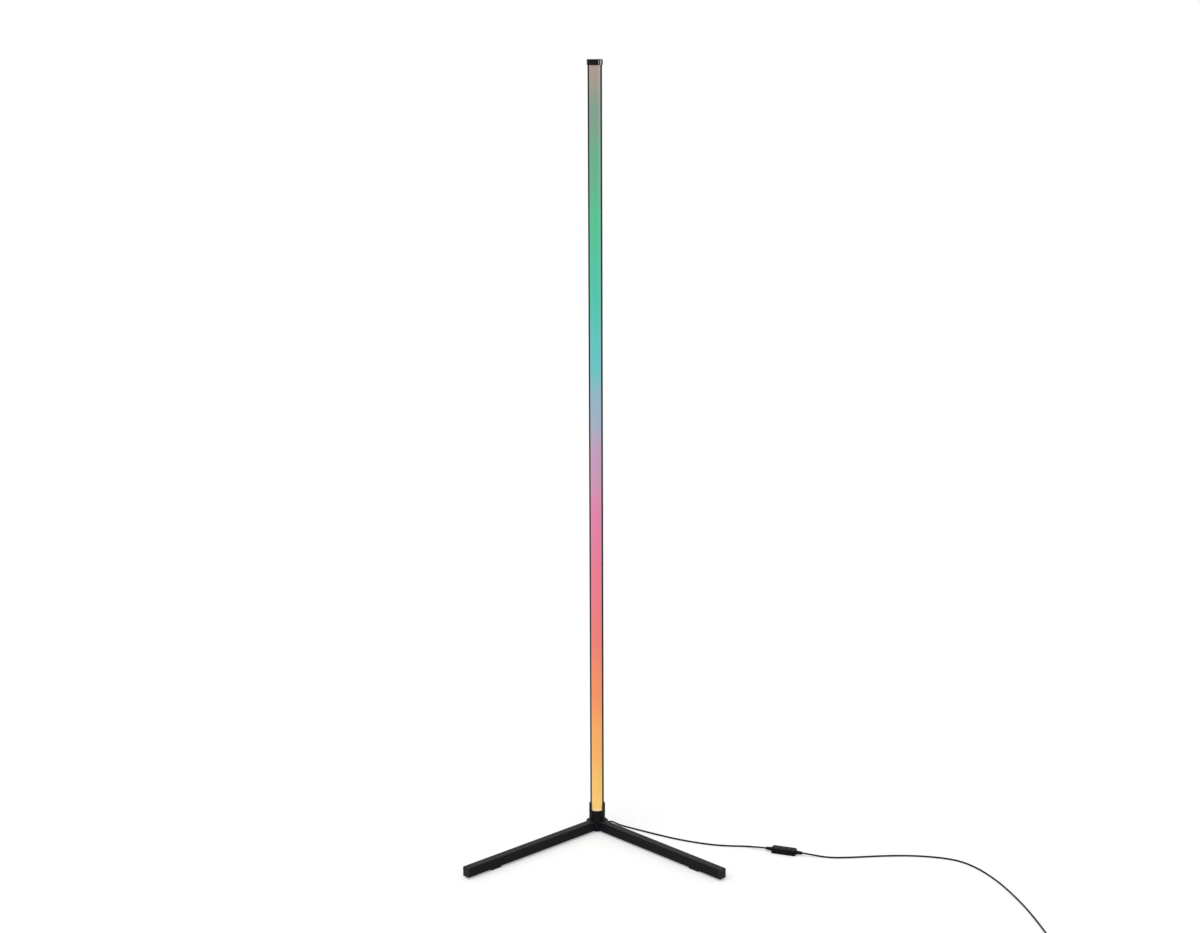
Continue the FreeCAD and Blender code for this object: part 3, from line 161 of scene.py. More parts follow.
def coil_point(turn):
    """The lead's centre, for a turn counted from the middle of the coil."""
    away = abs(turn)
    if away < COIL_REVERSAL:
        away = (away ** 2 / COIL_REVERSAL + COIL_REVERSAL) / 2
    radius = COIL_OUTER - COIL_PITCH * (COIL_TURNS - away)
    climb = min(max(turn / COIL_CLIMB + 0.5, 0.0), 1.0)
    climb = climb * climb * (3 - 2 * climb)
    angle = COIL_ENTRY - 2 * math.pi * (turn + COIL_TURNS)
    return COIL_CENTRE + Vector((radius * math.cos(angle), radius * math.sin(angle),
                                 COIL_FLOOR + COIL_PITCH * climb))


# %% From the controller, through the coil, to the plug
PLUG_SIDE_ROUTE = [
    (0.3703, -0.1157, 0.005), (0.3779, -0.1183, 0.005), (0.3865, -0.1198, 0.004),
    (0.397, -0.1208, 0.0023), (0.41, -0.1239, 0.0015), (0.428, -0.1271, 0.0015),
    (0.454, -0.1254, 0.0015), (0.483, -0.1216, 0.0015), (0.511, -0.1179, 0.0015),
    (0.539, -0.1158, 0.0015), (0.568, -0.1159, 0.0015), (0.597, -0.1196, 0.0015),
    (0.625, -0.1266, 0.0015), (0.651, -0.1394, 0.0015), (0.6745, -0.1676, 0.0015),
    (0.6915, -0.2005, 0.0015), (0.7055, -0.236, 0.0015), (0.7175, -0.276, 0.0015),
    (0.728, -0.318, 0.0015), (0.7366, -0.362, 0.0015), (0.743, -0.404, 0.0015),
    (0.7485, -0.442, 0.0015), (0.751, -0.468, 0.00215), (0.751, -0.485, 0.00215),
]
TAIL_ROUTE = [
    (0.75115, -0.49099, 0.00575), (0.75154, -0.49898, 0.00575), (0.7513, -0.5075, 0.0047),
    (0.7483, -0.5152, 0.0031), (0.7423, -0.5212, 0.0019), (0.734, -0.5245, 0.0015),
    (0.7246, -0.5255, 0.0021), (0.7156, -0.5255, 0.0035), (0.708, -0.5255, 0.0042),
    (0.7004, -0.5255, 0.0042),
]
coil_route = []
for step in range(2 * COIL_TURNS * COIL_POINTS_A_TURN + 1):
    coil_route.append(coil_point(step / COIL_POINTS_A_TURN - COIL_TURNS))
supply_lead = lay_lead("supply_lead", PLUG_SIDE_ROUTE + coil_route + TAIL_ROUTE)

# %% [markdown]
# ## Floor, room and lamps
# A pale floor and a white room show a black lamp best. The room gives soft light from all round,
# and one wide sun from above makes tops a little brighter than sides. What the camera and shiny
# things see of the room is kept plain white with Light Path, apart from the light that falls on the
# lamp, so the black stays black. Two small panels at the right draw the upright highlights that a
# glossy round cap shows in a studio, and they are kept from lighting anything but gloss.

# %% The floor
FLOOR_HALF_SIDE = 60.0
FLOOR_HEIGHT = -0.2 * MM
floor_mesh = bmesh.new()
bmesh.ops.create_grid(floor_mesh, x_segments=1, y_segments=1, size=FLOOR_HALF_SIDE)
bmesh.ops.translate(floor_mesh, verts=floor_mesh.verts, vec=(0, 0, FLOOR_HEIGHT))
floor_data = bpy.data.meshes.new("floor")
floor_mesh.to_mesh(floor_data)
floor_mesh.free()
floor = bpy.data.objects.new("floor", floor_data)
bpy.context.scene.collection.objects.link(floor)


def node_of(tree, kind, **settings):
    """A new shader node, with its settings."""
    node = tree.nodes.new("ShaderNode" + kind)
    for name, value in settings.items():
        setattr(node, name, value)
    return node


def maths(tree, operation, first, second):
    """One sum on two values, each a socket or a number; returns its result."""
    node = node_of(tree, "Math", operation=operation)
    for socket, value in zip(node.inputs, (first, second)):
        if isinstance(value, bpy.types.NodeSocket):
            tree.links.new(value, socket)
        else:
            socket.default_value = value
    return node.outputs[0]


def seen_directly(tree):
    """1 for rays from the camera, a mirror or a glass, and 0 for light on its way to the lamp."""
    path = node_of(tree, "LightPath")
    seen = maths(tree, "ADD", path.outputs["Is Camera Ray"], path.outputs["Is Glossy Ray"])
    seen = maths(tree, "ADD", seen, path.outputs["Is Transmission Ray"])
    return maths(tree, "MINIMUM", seen, 1.0)


# %% The floor's paint
FLOOR_WHITE = 0.80
FLOOR_LIFT = 0.25            # what lifts the seen floor to the white of the room
floor_paint = bpy.data.materials.new("floor_paint")
floor_paint.use_nodes = True
tree = floor_paint.node_tree
paint = tree.nodes["Principled BSDF"]
paint.inputs["Base Color"].default_value = (FLOOR_WHITE, FLOOR_WHITE, FLOOR_WHITE, 1)
paint.inputs["Roughness"].default_value = 1.0
paint.inputs["Specular IOR Level"].default_value = 0.0
paint.inputs["Emission Color"].default_value = (1, 1, 1, 1)
lift = maths(tree, "MULTIPLY", seen_directly(tree), FLOOR_LIFT)
tree.links.new(lift, paint.inputs["Emission Strength"])
floor_data.materials.append(floor_paint)

# %% The room and the lamps
ROOM_LIGHT = 0.62
world = bpy.data.worlds.new("room")
world.use_nodes = True
bpy.context.scene.world = world
tree = world.node_tree
strength = maths(tree, "MULTIPLY", seen_directly(tree), 1.0 - ROOM_LIGHT)
room = tree.nodes["Background"]
room.inputs["Color"].default_value = (1, 1, 1, 1)
tree.links.new(maths(tree, "ADD", strength, ROOM_LIGHT), room.inputs["Strength"])

SUN_LIGHT = 1.35
SUN_WIDTH = 70.0             # degrees across, for soft shadows
SUN_SIDE = (-0.35, -0.55, 1.0)
sun_data = bpy.data.lights.new("sun", "SUN")
sun_data.energy = SUN_LIGHT
sun_data.angle = math.radians(SUN_WIDTH)
sun = bpy.data.objects.new("sun", sun_data)
sun.rotation_euler = Vector(SUN_SIDE).to_track_quat("Z", "Y").to_euler()
bpy.context.scene.collection.objects.link(sun)

PANEL_SIZE = (0.35, 0.3)
PANEL_DISTANCE, PANEL_HEIGHT = 2.5, 1.335
PANELS = ((61.0, 15.0), (97.5, 23.0))    # degrees from the front towards the right, and watts
for bearing, power in PANELS:
    panel_data = bpy.data.lights.new("panel", "AREA")
    panel_data.shape = "RECTANGLE"
    panel_data.size, panel_data.size_y = PANEL_SIZE
    panel_data.energy = power
    panel = bpy.data.objects.new("panel", panel_data)
    out = Vector((math.sin(math.radians(bearing)), -math.cos(math.radians(bearing)), 0))
    panel.location = out * PANEL_DISTANCE + UP * PANEL_HEIGHT
    panel.rotation_euler = out.to_track_quat("Z", "Y").to_euler()
    panel.visible_camera = panel.visible_diffuse = False
    bpy.context.scene.collection.objects.link(panel)
print("room", ROOM_LIGHT, "sun", SUN_LIGHT)

# %% [markdown]
# ## Finishes
# Every finish starts from the Principled shader. What is the same all over, such as how strongly a
# coat mirrors, is set on the shader itself. What changes from place to place comes from node
# groups: a group is built once and placed in each finish with its own grain and tones.

# %% A finish and its parts
def shade(red, green, blue):
    """A colour as a paint chart gives it, 0 to 255, in the linear values that shaders use."""
    linear = []
    for value in (red, green, blue):
        value /= 255
        linear.append(value / 12.92 if value <= 0.04045 else ((value + 0.055) / 1.055) ** 2.4)
    return (*linear, 1.0)


def new_finish(name, roughness, mirror=0.5, metallic=0.0, **constants):
    """A material with its constants on the shader; returns the material."""
    material = bpy.data.materials.new(name)
    material.use_nodes = True
    shader = material.node_tree.nodes["Principled BSDF"]
    shader.inputs["Roughness"].default_value = roughness
    shader.inputs["Specular IOR Level"].default_value = mirror
    shader.inputs["Metallic"].default_value = metallic
    for label, value in constants.items():
        shader.inputs[label.replace("_", " ")].default_value = value
    return material


def new_group(name, inputs, outputs):
    """An empty node group: {socket: (kind, default)} in and {socket: kind} out."""
    tree = bpy.data.node_groups.new(name, "ShaderNodeTree")
    for label, (kind, value) in inputs.items():
        socket = tree.interface.new_socket(label, in_out="INPUT", socket_type="NodeSocket" + kind)
        socket.default_value = value
    for label, kind in outputs.items():
        tree.interface.new_socket(label, in_out="OUTPUT", socket_type="NodeSocket" + kind)
    return tree, tree.nodes.new("NodeGroupInput"), tree.nodes.new("NodeGroupOutput")


def noise_of(tree, place, grain, detail=2.0):
    """Noise whose spots are about as wide as a socket or number says, in metres."""
    noise = node_of(tree, "TexNoise")
    noise.inputs["Detail"].default_value = detail
    tree.links.new(place, noise.inputs["Vector"])
    tree.links.new(maths(tree, "DIVIDE", 1.0, grain), noise.inputs["Scale"])
    return noise.outputs["Fac"]


def mixed(tree, share, first, second):
    """A colour between two, by a share; each may be a socket or a colour."""
    mix = node_of(tree, "Mix", data_type="RGBA")
    sockets = (mix.inputs["Factor"], mix.inputs[6], mix.inputs[7])
    for socket, value in zip(sockets, (share, first, second)):
        if isinstance(value, bpy.types.NodeSocket):
            tree.links.new(value, socket)
        else:
            socket.default_value = value
    return mix.outputs[2]


# %% [markdown]
# ### Powder coat
# The pole, the hub and the legs are dusted with black powder and baked. The powder melts into a
# skin with a fine orange peel, a few tenths of a millimetre across, and the black is never quite
# even. Two noises do this: a small one raises the peel, and a wide one shifts the tone and the
# shine.

# %% The orange peel group
peel, given, made = new_group(
    "orange_peel",
    {"Tone": ("Color", (0.02, 0.02, 0.02, 1)), "Pale Tone": ("Color", (0.03, 0.03, 0.03, 1)),
     "Peel": ("Float", 0.5 * MM), "Patch": ("Float", 30 * MM), "Roughness": ("Float", 0.5),
     "Spread": ("Float", 0.1)},
    {"Color": "Color", "Roughness": "Float", "Height": "Float"})
place = node_of(peel, "TexCoord").outputs["Object"]
small = noise_of(peel, place, given.outputs["Peel"])
wide = noise_of(peel, place, given.outputs["Patch"])
peel.links.new(mixed(peel, maths(peel, "MULTIPLY", wide, small), given.outputs["Tone"],
                     given.outputs["Pale Tone"]), made.inputs["Color"])
swing = maths(peel, "MULTIPLY", maths(peel, "SUBTRACT", wide, 0.5), given.outputs["Spread"])
peel.links.new(maths(peel, "ADD", given.outputs["Roughness"], swing), made.inputs["Roughness"])
peel.links.new(small, made.inputs["Height"])
print(peel.name, [socket.name for socket in peel.interface.items_tree])

# %% [markdown]
# ### Moulded plastic
# A plastic case copies the wall of its mould, which is spark-eroded into tiny pits so that
# fingerprints don't show. Cells of a Voronoi pattern, roughened with noise, make such pits.

# %% The spark texture group
spark, given, made = new_group(
    "spark_texture",
    {"Tone": ("Color", (0.03, 0.03, 0.03, 1)), "Pale Tone": ("Color", (0.05, 0.05, 0.05, 1)),
     "Pit": ("Float", 0.25 * MM), "Roughness": ("Float", 0.6), "Spread": ("Float", 0.15)},
    {"Color": "Color", "Roughness": "Float", "Height": "Float"})
place = node_of(spark, "TexCoord").outputs["Object"]
cells = node_of(spark, "TexVoronoi", feature="SMOOTH_F1")
spark.links.new(place, cells.inputs["Vector"])
spark.links.new(maths(spark, "DIVIDE", 1.0, given.outputs["Pit"]), cells.inputs["Scale"])
rough = noise_of(spark, place, given.outputs["Pit"], detail=3.0)
relief = maths(spark, "MULTIPLY", maths(spark, "ADD", cells.outputs["Distance"], rough), 0.5)
spark.links.new(mixed(spark, relief, given.outputs["Tone"], given.outputs["Pale Tone"]),
                made.inputs["Color"])
swing = maths(spark, "MULTIPLY", maths(spark, "SUBTRACT", rough, 0.5), given.outputs["Spread"])
spark.links.new(maths(spark, "ADD", given.outputs["Roughness"], swing), made.inputs["Roughness"])
spark.links.new(relief, made.inputs["Height"])

# %% [markdown]
# ### Metal with lines
# Drawn aluminium and folded, nickel-plated steel keep fine lines from the die or the brush. Noise
# stretched along one way makes them: the Mapping node squeezes the pattern across the lines.

# %% The drawn lines group
lines, given, made = new_group(
    "drawn_lines",
    {"Tone": ("Color", (0.6, 0.6, 0.6, 1)), "Dark Tone": ("Color", (0.4, 0.4, 0.4, 1)),
     "Squeeze": ("Vector", (1.0, 1.0, 0.02)), "Line": ("Float", 0.2 * MM),
     "Roughness": ("Float", 0.3), "Spread": ("Float", 0.2)},
    {"Color": "Color", "Roughness": "Float", "Height": "Float"})
stretch = node_of(lines, "Mapping")
lines.links.new(node_of(lines, "TexCoord").outputs["Object"], stretch.inputs["Vector"])
lines.links.new(given.outputs["Squeeze"], stretch.inputs["Scale"])
line_noise = noise_of(lines, stretch.outputs["Vector"], given.outputs["Line"], detail=4.0)
lines.links.new(mixed(lines, line_noise, given.outputs["Dark Tone"], given.outputs["Tone"]),
                made.inputs["Color"])
swing = maths(lines, "MULTIPLY", maths(lines, "SUBTRACT", line_noise, 0.5), given.outputs["Spread"])
lines.links.new(maths(lines, "ADD", given.outputs["Roughness"], swing), made.inputs["Roughness"])
lines.links.new(line_noise, made.inputs["Height"])

# %% [markdown]
# ### Painted top light
# Whatever faces up is painted a little paler, as painted light from above. The group looks at which
# way the surface points and breaks the paler share up with noise, so it is never even.

# %% The painted top light group
top_light_group, given, made = new_group(
    "painted_top_light",
    {"Color": ("Color", (0.02, 0.02, 0.02, 1)), "Lit Tone": ("Color", (0.2, 0.2, 0.2, 1)),
     "Amount": ("Float", 0.1)},
    {"Color": "Color"})
facing = node_of(top_light_group, "SeparateXYZ")
top_light_group.links.new(node_of(top_light_group, "NewGeometry").outputs["Normal"], facing.inputs[0])
upwards = maths(top_light_group, "POWER", maths(top_light_group, "MAXIMUM", facing.outputs["Z"], 0.0), 3.0)
broken = noise_of(top_light_group, node_of(top_light_group, "TexCoord").outputs["Object"], 6 * MM, detail=5.0)
# the share of painted top light: upward faces, broken up by noise
top_paint = maths(top_light_group, "MULTIPLY", maths(top_light_group, "MULTIPLY", upwards, broken), given.outputs["Amount"])
top_lit_colour = mixed(top_light_group, top_paint, given.outputs["Color"], given.outputs["Lit Tone"])
top_light_group.links.new(top_lit_colour, made.inputs["Color"])

# %% Placing the groups in a finish
# the pale tone painted on upward faces as painted top light
TOP_LIGHT_TONE = shade(150, 146, 142)


def grained(material, group, depth, top_light=0.0, **values):
    """Feed a finish from a grain group, raised by a depth in metres, with painted top light if
    wanted.
    """
    tree = material.node_tree
    shader = tree.nodes["Principled BSDF"]
    grain = node_of(tree, "Group", node_tree=group)
    for label, value in values.items():
        grain.inputs[label.replace("_", " ")].default_value = value
    colour = grain.outputs["Color"]
    if top_light:
        # painted top light: a paler tone on the upward faces
        top_paint = node_of(tree, "Group", node_tree=top_light_group)
        top_paint.inputs["Lit Tone"].default_value = TOP_LIGHT_TONE
        top_paint.inputs["Amount"].default_value = top_light
        tree.links.new(colour, top_paint.inputs["Color"])
        colour = top_paint.outputs["Color"]
    tree.links.new(colour, shader.inputs["Base Color"])
    tree.links.new(grain.outputs["Roughness"], shader.inputs["Roughness"])
    bump = node_of(tree, "Bump")
    bump.inputs["Distance"].default_value = depth
    tree.links.new(grain.outputs["Height"], bump.inputs["Height"])
    tree.links.new(bump.outputs["Normal"], shader.inputs["Normal"])
    return material


finishes = {}

# %% The powder-coated metals
# each coat takes a share of painted top light on its upward faces
finishes["pole_black"] = grained(
    new_finish("pole_black", 0.5, mirror=0.07), peel, 0.02 * MM, top_light=0.09,
    Tone=shade(17, 16, 20), Pale_Tone=shade(26, 25, 31), Peel=0.5 * MM, Patch=40 * MM,
    Roughness=0.50)
finishes["hub_black"] = grained(
    new_finish("hub_black", 0.55, mirror=0.09), peel, 0.05 * MM, top_light=0.06,
    Tone=shade(14, 13, 16), Pale_Tone=shade(24, 23, 27), Peel=0.8 * MM, Patch=15 * MM,
    Roughness=0.55)
finishes["screw_black"] = grained(
    new_finish("screw_black", 0.4, mirror=0.5), peel, 0.01 * MM,
    Tone=shade(30, 30, 32), Pale_Tone=shade(48, 47, 50), Peel=0.3 * MM, Patch=2 * MM,
    Roughness=0.38)

# %% The moulded plastics
PLASTICS = {                 # tone, pale tone, pit size and depth in mm, roughness, mirror
    "end_cap_black": (shade(20, 19, 22), shade(36, 35, 40), 0.35, 0.02, 0.62, 0.14),
    "controller_black": (shade(11, 10, 12), shade(20, 18, 22), 0.30, 0.02, 0.55, 0.07),
    "button_grey": (shade(46, 45, 48), shade(60, 59, 63), 0.20, 0.01, 0.60, 0.15),
    "switch_black": (shade(40, 40, 42), shade(60, 60, 62), 0.20, 0.01, 0.45, 0.45),
    "plug_black": (shade(18, 17, 20), shade(34, 33, 36), 0.25, 0.02, 0.50, 0.18),
    "insulator_white": (shade(226, 226, 222), shade(240, 240, 238), 0.20, 0.01, 0.40, 0.45),
    "connector_white": (shade(222, 220, 210), shade(236, 235, 228), 0.25, 0.01, 0.45, 0.45),
    "rubber_black": (shade(22, 22, 23), shade(40, 39, 40), 0.45, 0.03, 0.80, 0.14),
    "cord_black": (shade(10, 9, 11), shade(20, 19, 22), 0.30, 0.01, 0.45, 0.09),
    "circuit_green": (shade(38, 110, 62), shade(52, 132, 76), 0.40, 0.01, 0.35, 0.50),
    "board_white": (shade(232, 233, 230), shade(242, 243, 240), 0.50, 0.01, 0.45, 0.45),
    "led_lens": (shade(240, 240, 226), shade(250, 248, 232), 0.50, 0.01, 0.20, 0.50),
}
# the black plastics take a share of painted top light on their upward faces
for slot, (tone, pale, pit, depth, roughness, mirror) in PLASTICS.items():
    finishes[slot] = grained(new_finish(slot, roughness, mirror=mirror), spark, depth * MM,
                             top_light=0.05 if slot.endswith("black") else 0.0, Tone=tone,
                             Pale_Tone=pale, Pit=pit * MM, Roughness=roughness)
print(len(PLASTICS), "plastics and rubbers")

# %% The glossy cap and the bright metals
# the cap takes a small share of painted top light on its upward faces
finishes["cap_gloss"] = grained(
    new_finish("cap_gloss", 0.1, mirror=0.12), peel, 0.004 * MM, top_light=0.03,
    Tone=shade(12, 11, 13), Pale_Tone=shade(18, 17, 20), Peel=2.5 * MM, Patch=10 * MM,
    Roughness=0.10, Spread=0.06)
METALS = {                   # tone, dark tone, squeeze along each way, roughness
    "joiner_metal": (shade(214, 214, 217), shade(176, 176, 180), (1, 1, 0.03), 0.38),
    "plug_metal": (shade(206, 205, 202), shade(166, 165, 163), (0.04, 1, 1), 0.26),
    "contact_gold": (shade(232, 198, 118), shade(196, 158, 84), (0.04, 1, 1), 0.22),
}
for slot, (tone, dark, squeeze, roughness) in METALS.items():
    finishes[slot] = grained(new_finish(slot, roughness, metallic=1.0), lines, 0.004 * MM,
                             Tone=tone, Dark_Tone=dark, Squeeze=squeeze, Roughness=roughness)

# %% [markdown]
# ### The lit strip
# The opal strip is milky, and the diodes behind it blend into one long wash of colour, from a warm
# grey at the top through greens, blues and pinks to amber at the foot. A colour ramp on the height
# makes the wash. Part of it is paint that the room lights and the larger part shines by itself, as
# a lit strip does, and the two together come to the colour as it looks. Light creeps along the
# edges of the dome, so a mask on the sideways place makes them a little paler.

# %% The strip's wash of colour
STRIP_FOOT, STRIP_TOP = 30 * MM, 1390 * MM
WASH = [                     # height in mm and colour, from the foot up
    (41, shade(255, 226, 182)), (46, shade(252, 208, 124)), (80, shade(250, 199, 110)),
    (170, shade(249, 176, 98)),
    (280, shade(246, 146, 100)), (380, shade(240, 126, 119)), (480, shade(234, 124, 144)),
    (590, shade(228, 131, 168)), (700, shade(198, 156, 187)), (790, shade(156, 179, 197)),
    (880, shade(102, 196, 195)), (1000, shade(80, 197, 172)), (1120, shade(84, 194, 146)),
    (1220, shade(103, 177, 139)), (1310, shade(128, 159, 138)), (1384, shade(170, 153, 143)),
]
SHINE = 0.62                 # the part of the colour that shines by itself
opal = new_finish("opal_lit", 0.45, mirror=0.25)
tree = opal.node_tree
shader = tree.nodes["Principled BSDF"]
place = node_of(tree, "SeparateXYZ")
tree.links.new(node_of(tree, "TexCoord").outputs["Object"], place.inputs[0])
height = node_of(tree, "MapRange")
height.inputs["From Min"].default_value = STRIP_FOOT
height.inputs["From Max"].default_value = STRIP_TOP
tree.links.new(place.outputs["Z"], height.inputs["Value"])
ramp = node_of(tree, "ValToRGB")
ramp.color_ramp.interpolation = "EASE"
tree.links.new(height.outputs["Result"], ramp.inputs["Fac"])
stops = ramp.color_ramp.elements
while len(stops) < len(WASH):
    stops.new(0.5)
for stop, (level, colour) in zip(stops, WASH):
    stop.position = (level * MM - STRIP_FOOT) / (STRIP_TOP - STRIP_FOOT)
    stop.color = colour
EDGE_START, EDGE_END, EDGE_SHARE = 7.9 * MM, 9.3 * MM, 0.08
EDGE_LIGHT = (1.0, 0.98, 0.96, 1.0)
UNLIT = (0.0, 0.0, 0.0, 1.0)
aside = maths(tree, "ABSOLUTE", place.outputs["X"], 0.0)
edge = node_of(tree, "MapRange", interpolation_type="SMOOTHSTEP")
for label, value in (("From Min", EDGE_START), ("From Max", EDGE_END), ("To Max", EDGE_SHARE)):
    edge.inputs[label].default_value = value
tree.links.new(aside, edge.inputs["Value"])
wash = mixed(tree, edge.outputs["Result"], ramp.outputs["Color"], EDGE_LIGHT)
painted = mixed(tree, 1.0 - SHINE, UNLIT, wash)
tree.links.new(painted, shader.inputs["Base Color"])
tree.links.new(wash, shader.inputs["Emission Color"])
shader.inputs["Emission Strength"].default_value = SHINE
finishes["opal"] = opal
print(len(WASH), "colours in the wash")

# %% [markdown]
# ## Making pieces
# New pieces are modelled with bmesh, Blender's mesh kit. Most of them begin as a pen line of a few
# points, which a spin turns round an axis or an extrusion draws out. This helper writes the mesh to
# an object that stays at the origin, lets it ride on the lamp and hides the solid it stands for.

# %% From a bmesh to a piece of the lamp
SHARP_FROM = 40.0            # degrees, from which an edge stays crisp
SAME_PLACE = 1e-6            # metres, within which two vertices are one


def pen_line(mesh, places, pen=None):
    """Draw a line of edges by extruding a vertex from place to place; returns the last one."""
    for place in places:
        if pen is None:
            pen = mesh.verts.new(place)
        else:
            pen = bmesh.ops.extrude_vert_indiv(mesh, verts=[pen])["verts"][0]
            pen.co = place
    return pen


def finish_piece(name, mesh, slot, stands_for=(), turn=None):
    """Turn a bmesh into a piece that rides on the lamp, with a slot's finish."""
    bmesh.ops.remove_doubles(mesh, verts=mesh.verts, dist=SAME_PLACE)
    bmesh.ops.recalc_face_normals(mesh, faces=mesh.faces)
    if turn is not None:
        bmesh.ops.transform(mesh, matrix=turn, verts=mesh.verts)
    data = bpy.data.meshes.new(name)
    mesh.to_mesh(data)
    mesh.free()
    data.polygons.foreach_set("use_smooth", [True] * len(data.polygons))
    data.set_sharp_from_angle(angle=math.radians(SHARP_FROM))
    piece = bpy.data.objects.new(name, data)
    bpy.context.scene.collection.objects.link(piece)
    dress(piece, slot, stands_for)
    print(name, len(data.polygons), "faces")
    return piece


def dress(piece, slot, stands_for=()):
    """Give a piece its finish and its body, and hide the solids that it stands for."""
    piece.data.materials.append(finishes[slot])
    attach(piece, "lamp")
    if stands_for:
        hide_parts(*stands_for)


# %% [markdown]
# ### The opal strip
# The real strip is extruded: a dome between two springy legs, with barbs that catch behind the
# pole's lips. Half of its section is drawn here as a line, with the dome as a part of a spin. A
# mirror gives the other half, a face closes the outline, and one extrusion runs up the pole.

# %% The strip's section, drawn out
DOME_RADIUS, STRIP_WALL = 12.4 * MM, 1.2 * MM
STRIP_HALF = 9.4 * MM
STRIP_LIP, STRIP_BARB = -5.83 * MM, 0.6 * MM
BARB_MIDDLE, BARB_END = STRIP_LIP + 1.2 * MM, STRIP_LIP + 2.5 * MM
DOME_STEPS = 14
strip = bmesh.new()
crest = strip.verts.new((0, -DOME_RADIUS, STRIP_FOOT))
inner_radius, inner_half = DOME_RADIUS - STRIP_WALL, STRIP_HALF - STRIP_WALL
dome = bmesh.ops.spin(strip, geom=[crest], cent=(0, 0, 0), axis=UP, steps=DOME_STEPS,
                      angle=math.asin(STRIP_HALF / DOME_RADIUS), use_merge=False)
pen = [v for v in dome["geom_last"] if isinstance(v, bmesh.types.BMVert)][0]
leg = [(STRIP_HALF, STRIP_LIP), (STRIP_HALF + STRIP_BARB, BARB_MIDDLE), (STRIP_HALF, BARB_END),
       (inner_half, BARB_END), (inner_half, -math.sqrt(inner_radius ** 2 - inner_half ** 2))]
pen = pen_line(strip, [(x, y, STRIP_FOOT) for x, y in leg], pen)
bmesh.ops.spin(strip, geom=[pen], cent=(0, 0, 0), axis=UP, steps=DOME_STEPS,
               angle=-math.asin(inner_half / inner_radius), use_merge=False)
bmesh.ops.mirror(strip, geom=strip.verts[:] + strip.edges[:], axis="X", merge_dist=SAME_PLACE)
bmesh.ops.remove_doubles(strip, verts=strip.verts, dist=SAME_PLACE)
bmesh.ops.contextual_create(strip, geom=strip.edges[:])
drawn = bmesh.ops.extrude_face_region(strip, geom=strip.faces[:])
bmesh.ops.translate(strip, vec=UP * (STRIP_TOP - STRIP_FOOT),
                    verts=[v for v in drawn["geom"] if isinstance(v, bmesh.types.BMVert)])
finish_piece("opal_strip", strip, "opal", ["diffuser_strip"])

# %% [markdown]
# ### Boots on the controller
# Where the lead enters its controller a tapered boot keeps it from kinking. The real ones are
# ringed, so that they bend like a bellows. A line up the side of a boot, with a dip for each ring,
# is spun round the lead's way, and at the tip it folds in to leave a small well round the lead.

# %% A boot, spun round the lead
CONTROLLER_CENTRE = Vector((338.6, -104.8, 0)) * MM
CONTROLLER_TURN = math.radians(-19.0)
CONTROLLER_HALF = 22.5 * MM
LEAD_HEIGHT = 5.0 * MM
SPIN_STEPS = 40
RING_START, RING_WIDTH, RING_TAIL = 0.62, 0.26, 0.4    # as shares of the room for one ring
DIP = ((0.0, 0.0), (0.22, 0.75), (0.5, 1.0), (0.78, 0.75), (1.0, 0.0))    # share across and down
WELL_GAP, WELL_DEPTH, TIP_ROUND = 0.15 * MM, 1.5 * MM, 0.2 * MM


def ringed_line(length, root, tip, rings, depth, into):
    """The side of a boot from its root, as (along, radius), with dips between soft rings."""
    line = [(-into, 0.0), (-into, root), (0.0, root)]
    for i in range(rings):
        start = length * (i + RING_START) / (rings + RING_TAIL)
        dip = length * RING_WIDTH / (rings + RING_TAIL)
        for share, low in DIP:
            along = start + dip * (2 * share)
            line.append((along, root + (tip - root) * along / length - depth * low))
    well = LEAD_DIAMETER / 2 + WELL_GAP
    line += [(length - TIP_ROUND, tip), (length, tip - WELL_GAP), (length, well),
             (length - WELL_DEPTH, well), (length - WELL_DEPTH, 0.0)]
    return line


def spun(line):
    """A new bmesh: a line of (along, radius) spun round the X axis."""
    mesh = bmesh.new()
    pen_line(mesh, [(along, radius, 0) for along, radius in line])
    bmesh.ops.spin(mesh, geom=mesh.verts[:] + mesh.edges[:], cent=(0, 0, 0), axis=(1, 0, 0),
                   angle=math.tau, steps=SPIN_STEPS, use_merge=True)
    return mesh


boot_line = ringed_line(length=11 * MM, root=3.8 * MM, tip=2.7 * MM, rings=4,
                        depth=0.55 * MM, into=2.3 * MM)
controller_place = (Matrix.Translation(CONTROLLER_CENTRE + UP * LEAD_HEIGHT)
                    @ Matrix.Rotation(CONTROLLER_TURN, 4, "Z"))
for name, half_turn, solid in (("boot_in", math.pi, "strain_relief_in"),
                               ("boot_out", 0.0, "strain_relief_out")):
    way = (controller_place @ Matrix.Rotation(half_turn, 4, "Z")
           @ Matrix.Translation((CONTROLLER_HALF, 0, 0)))
    finish_piece(name, spun(boot_line), "cord_black", [solid], turn=way)

# %% [markdown]
# ### The tie
# A strap of hook-and-loop tape holds the coil: round all the turns once, and over its own start.
# Its side view is drawn as a line, the corners of the line are rounded with a vertex bevel, one
# extrusion gives the width, and a wall gives the thickness.

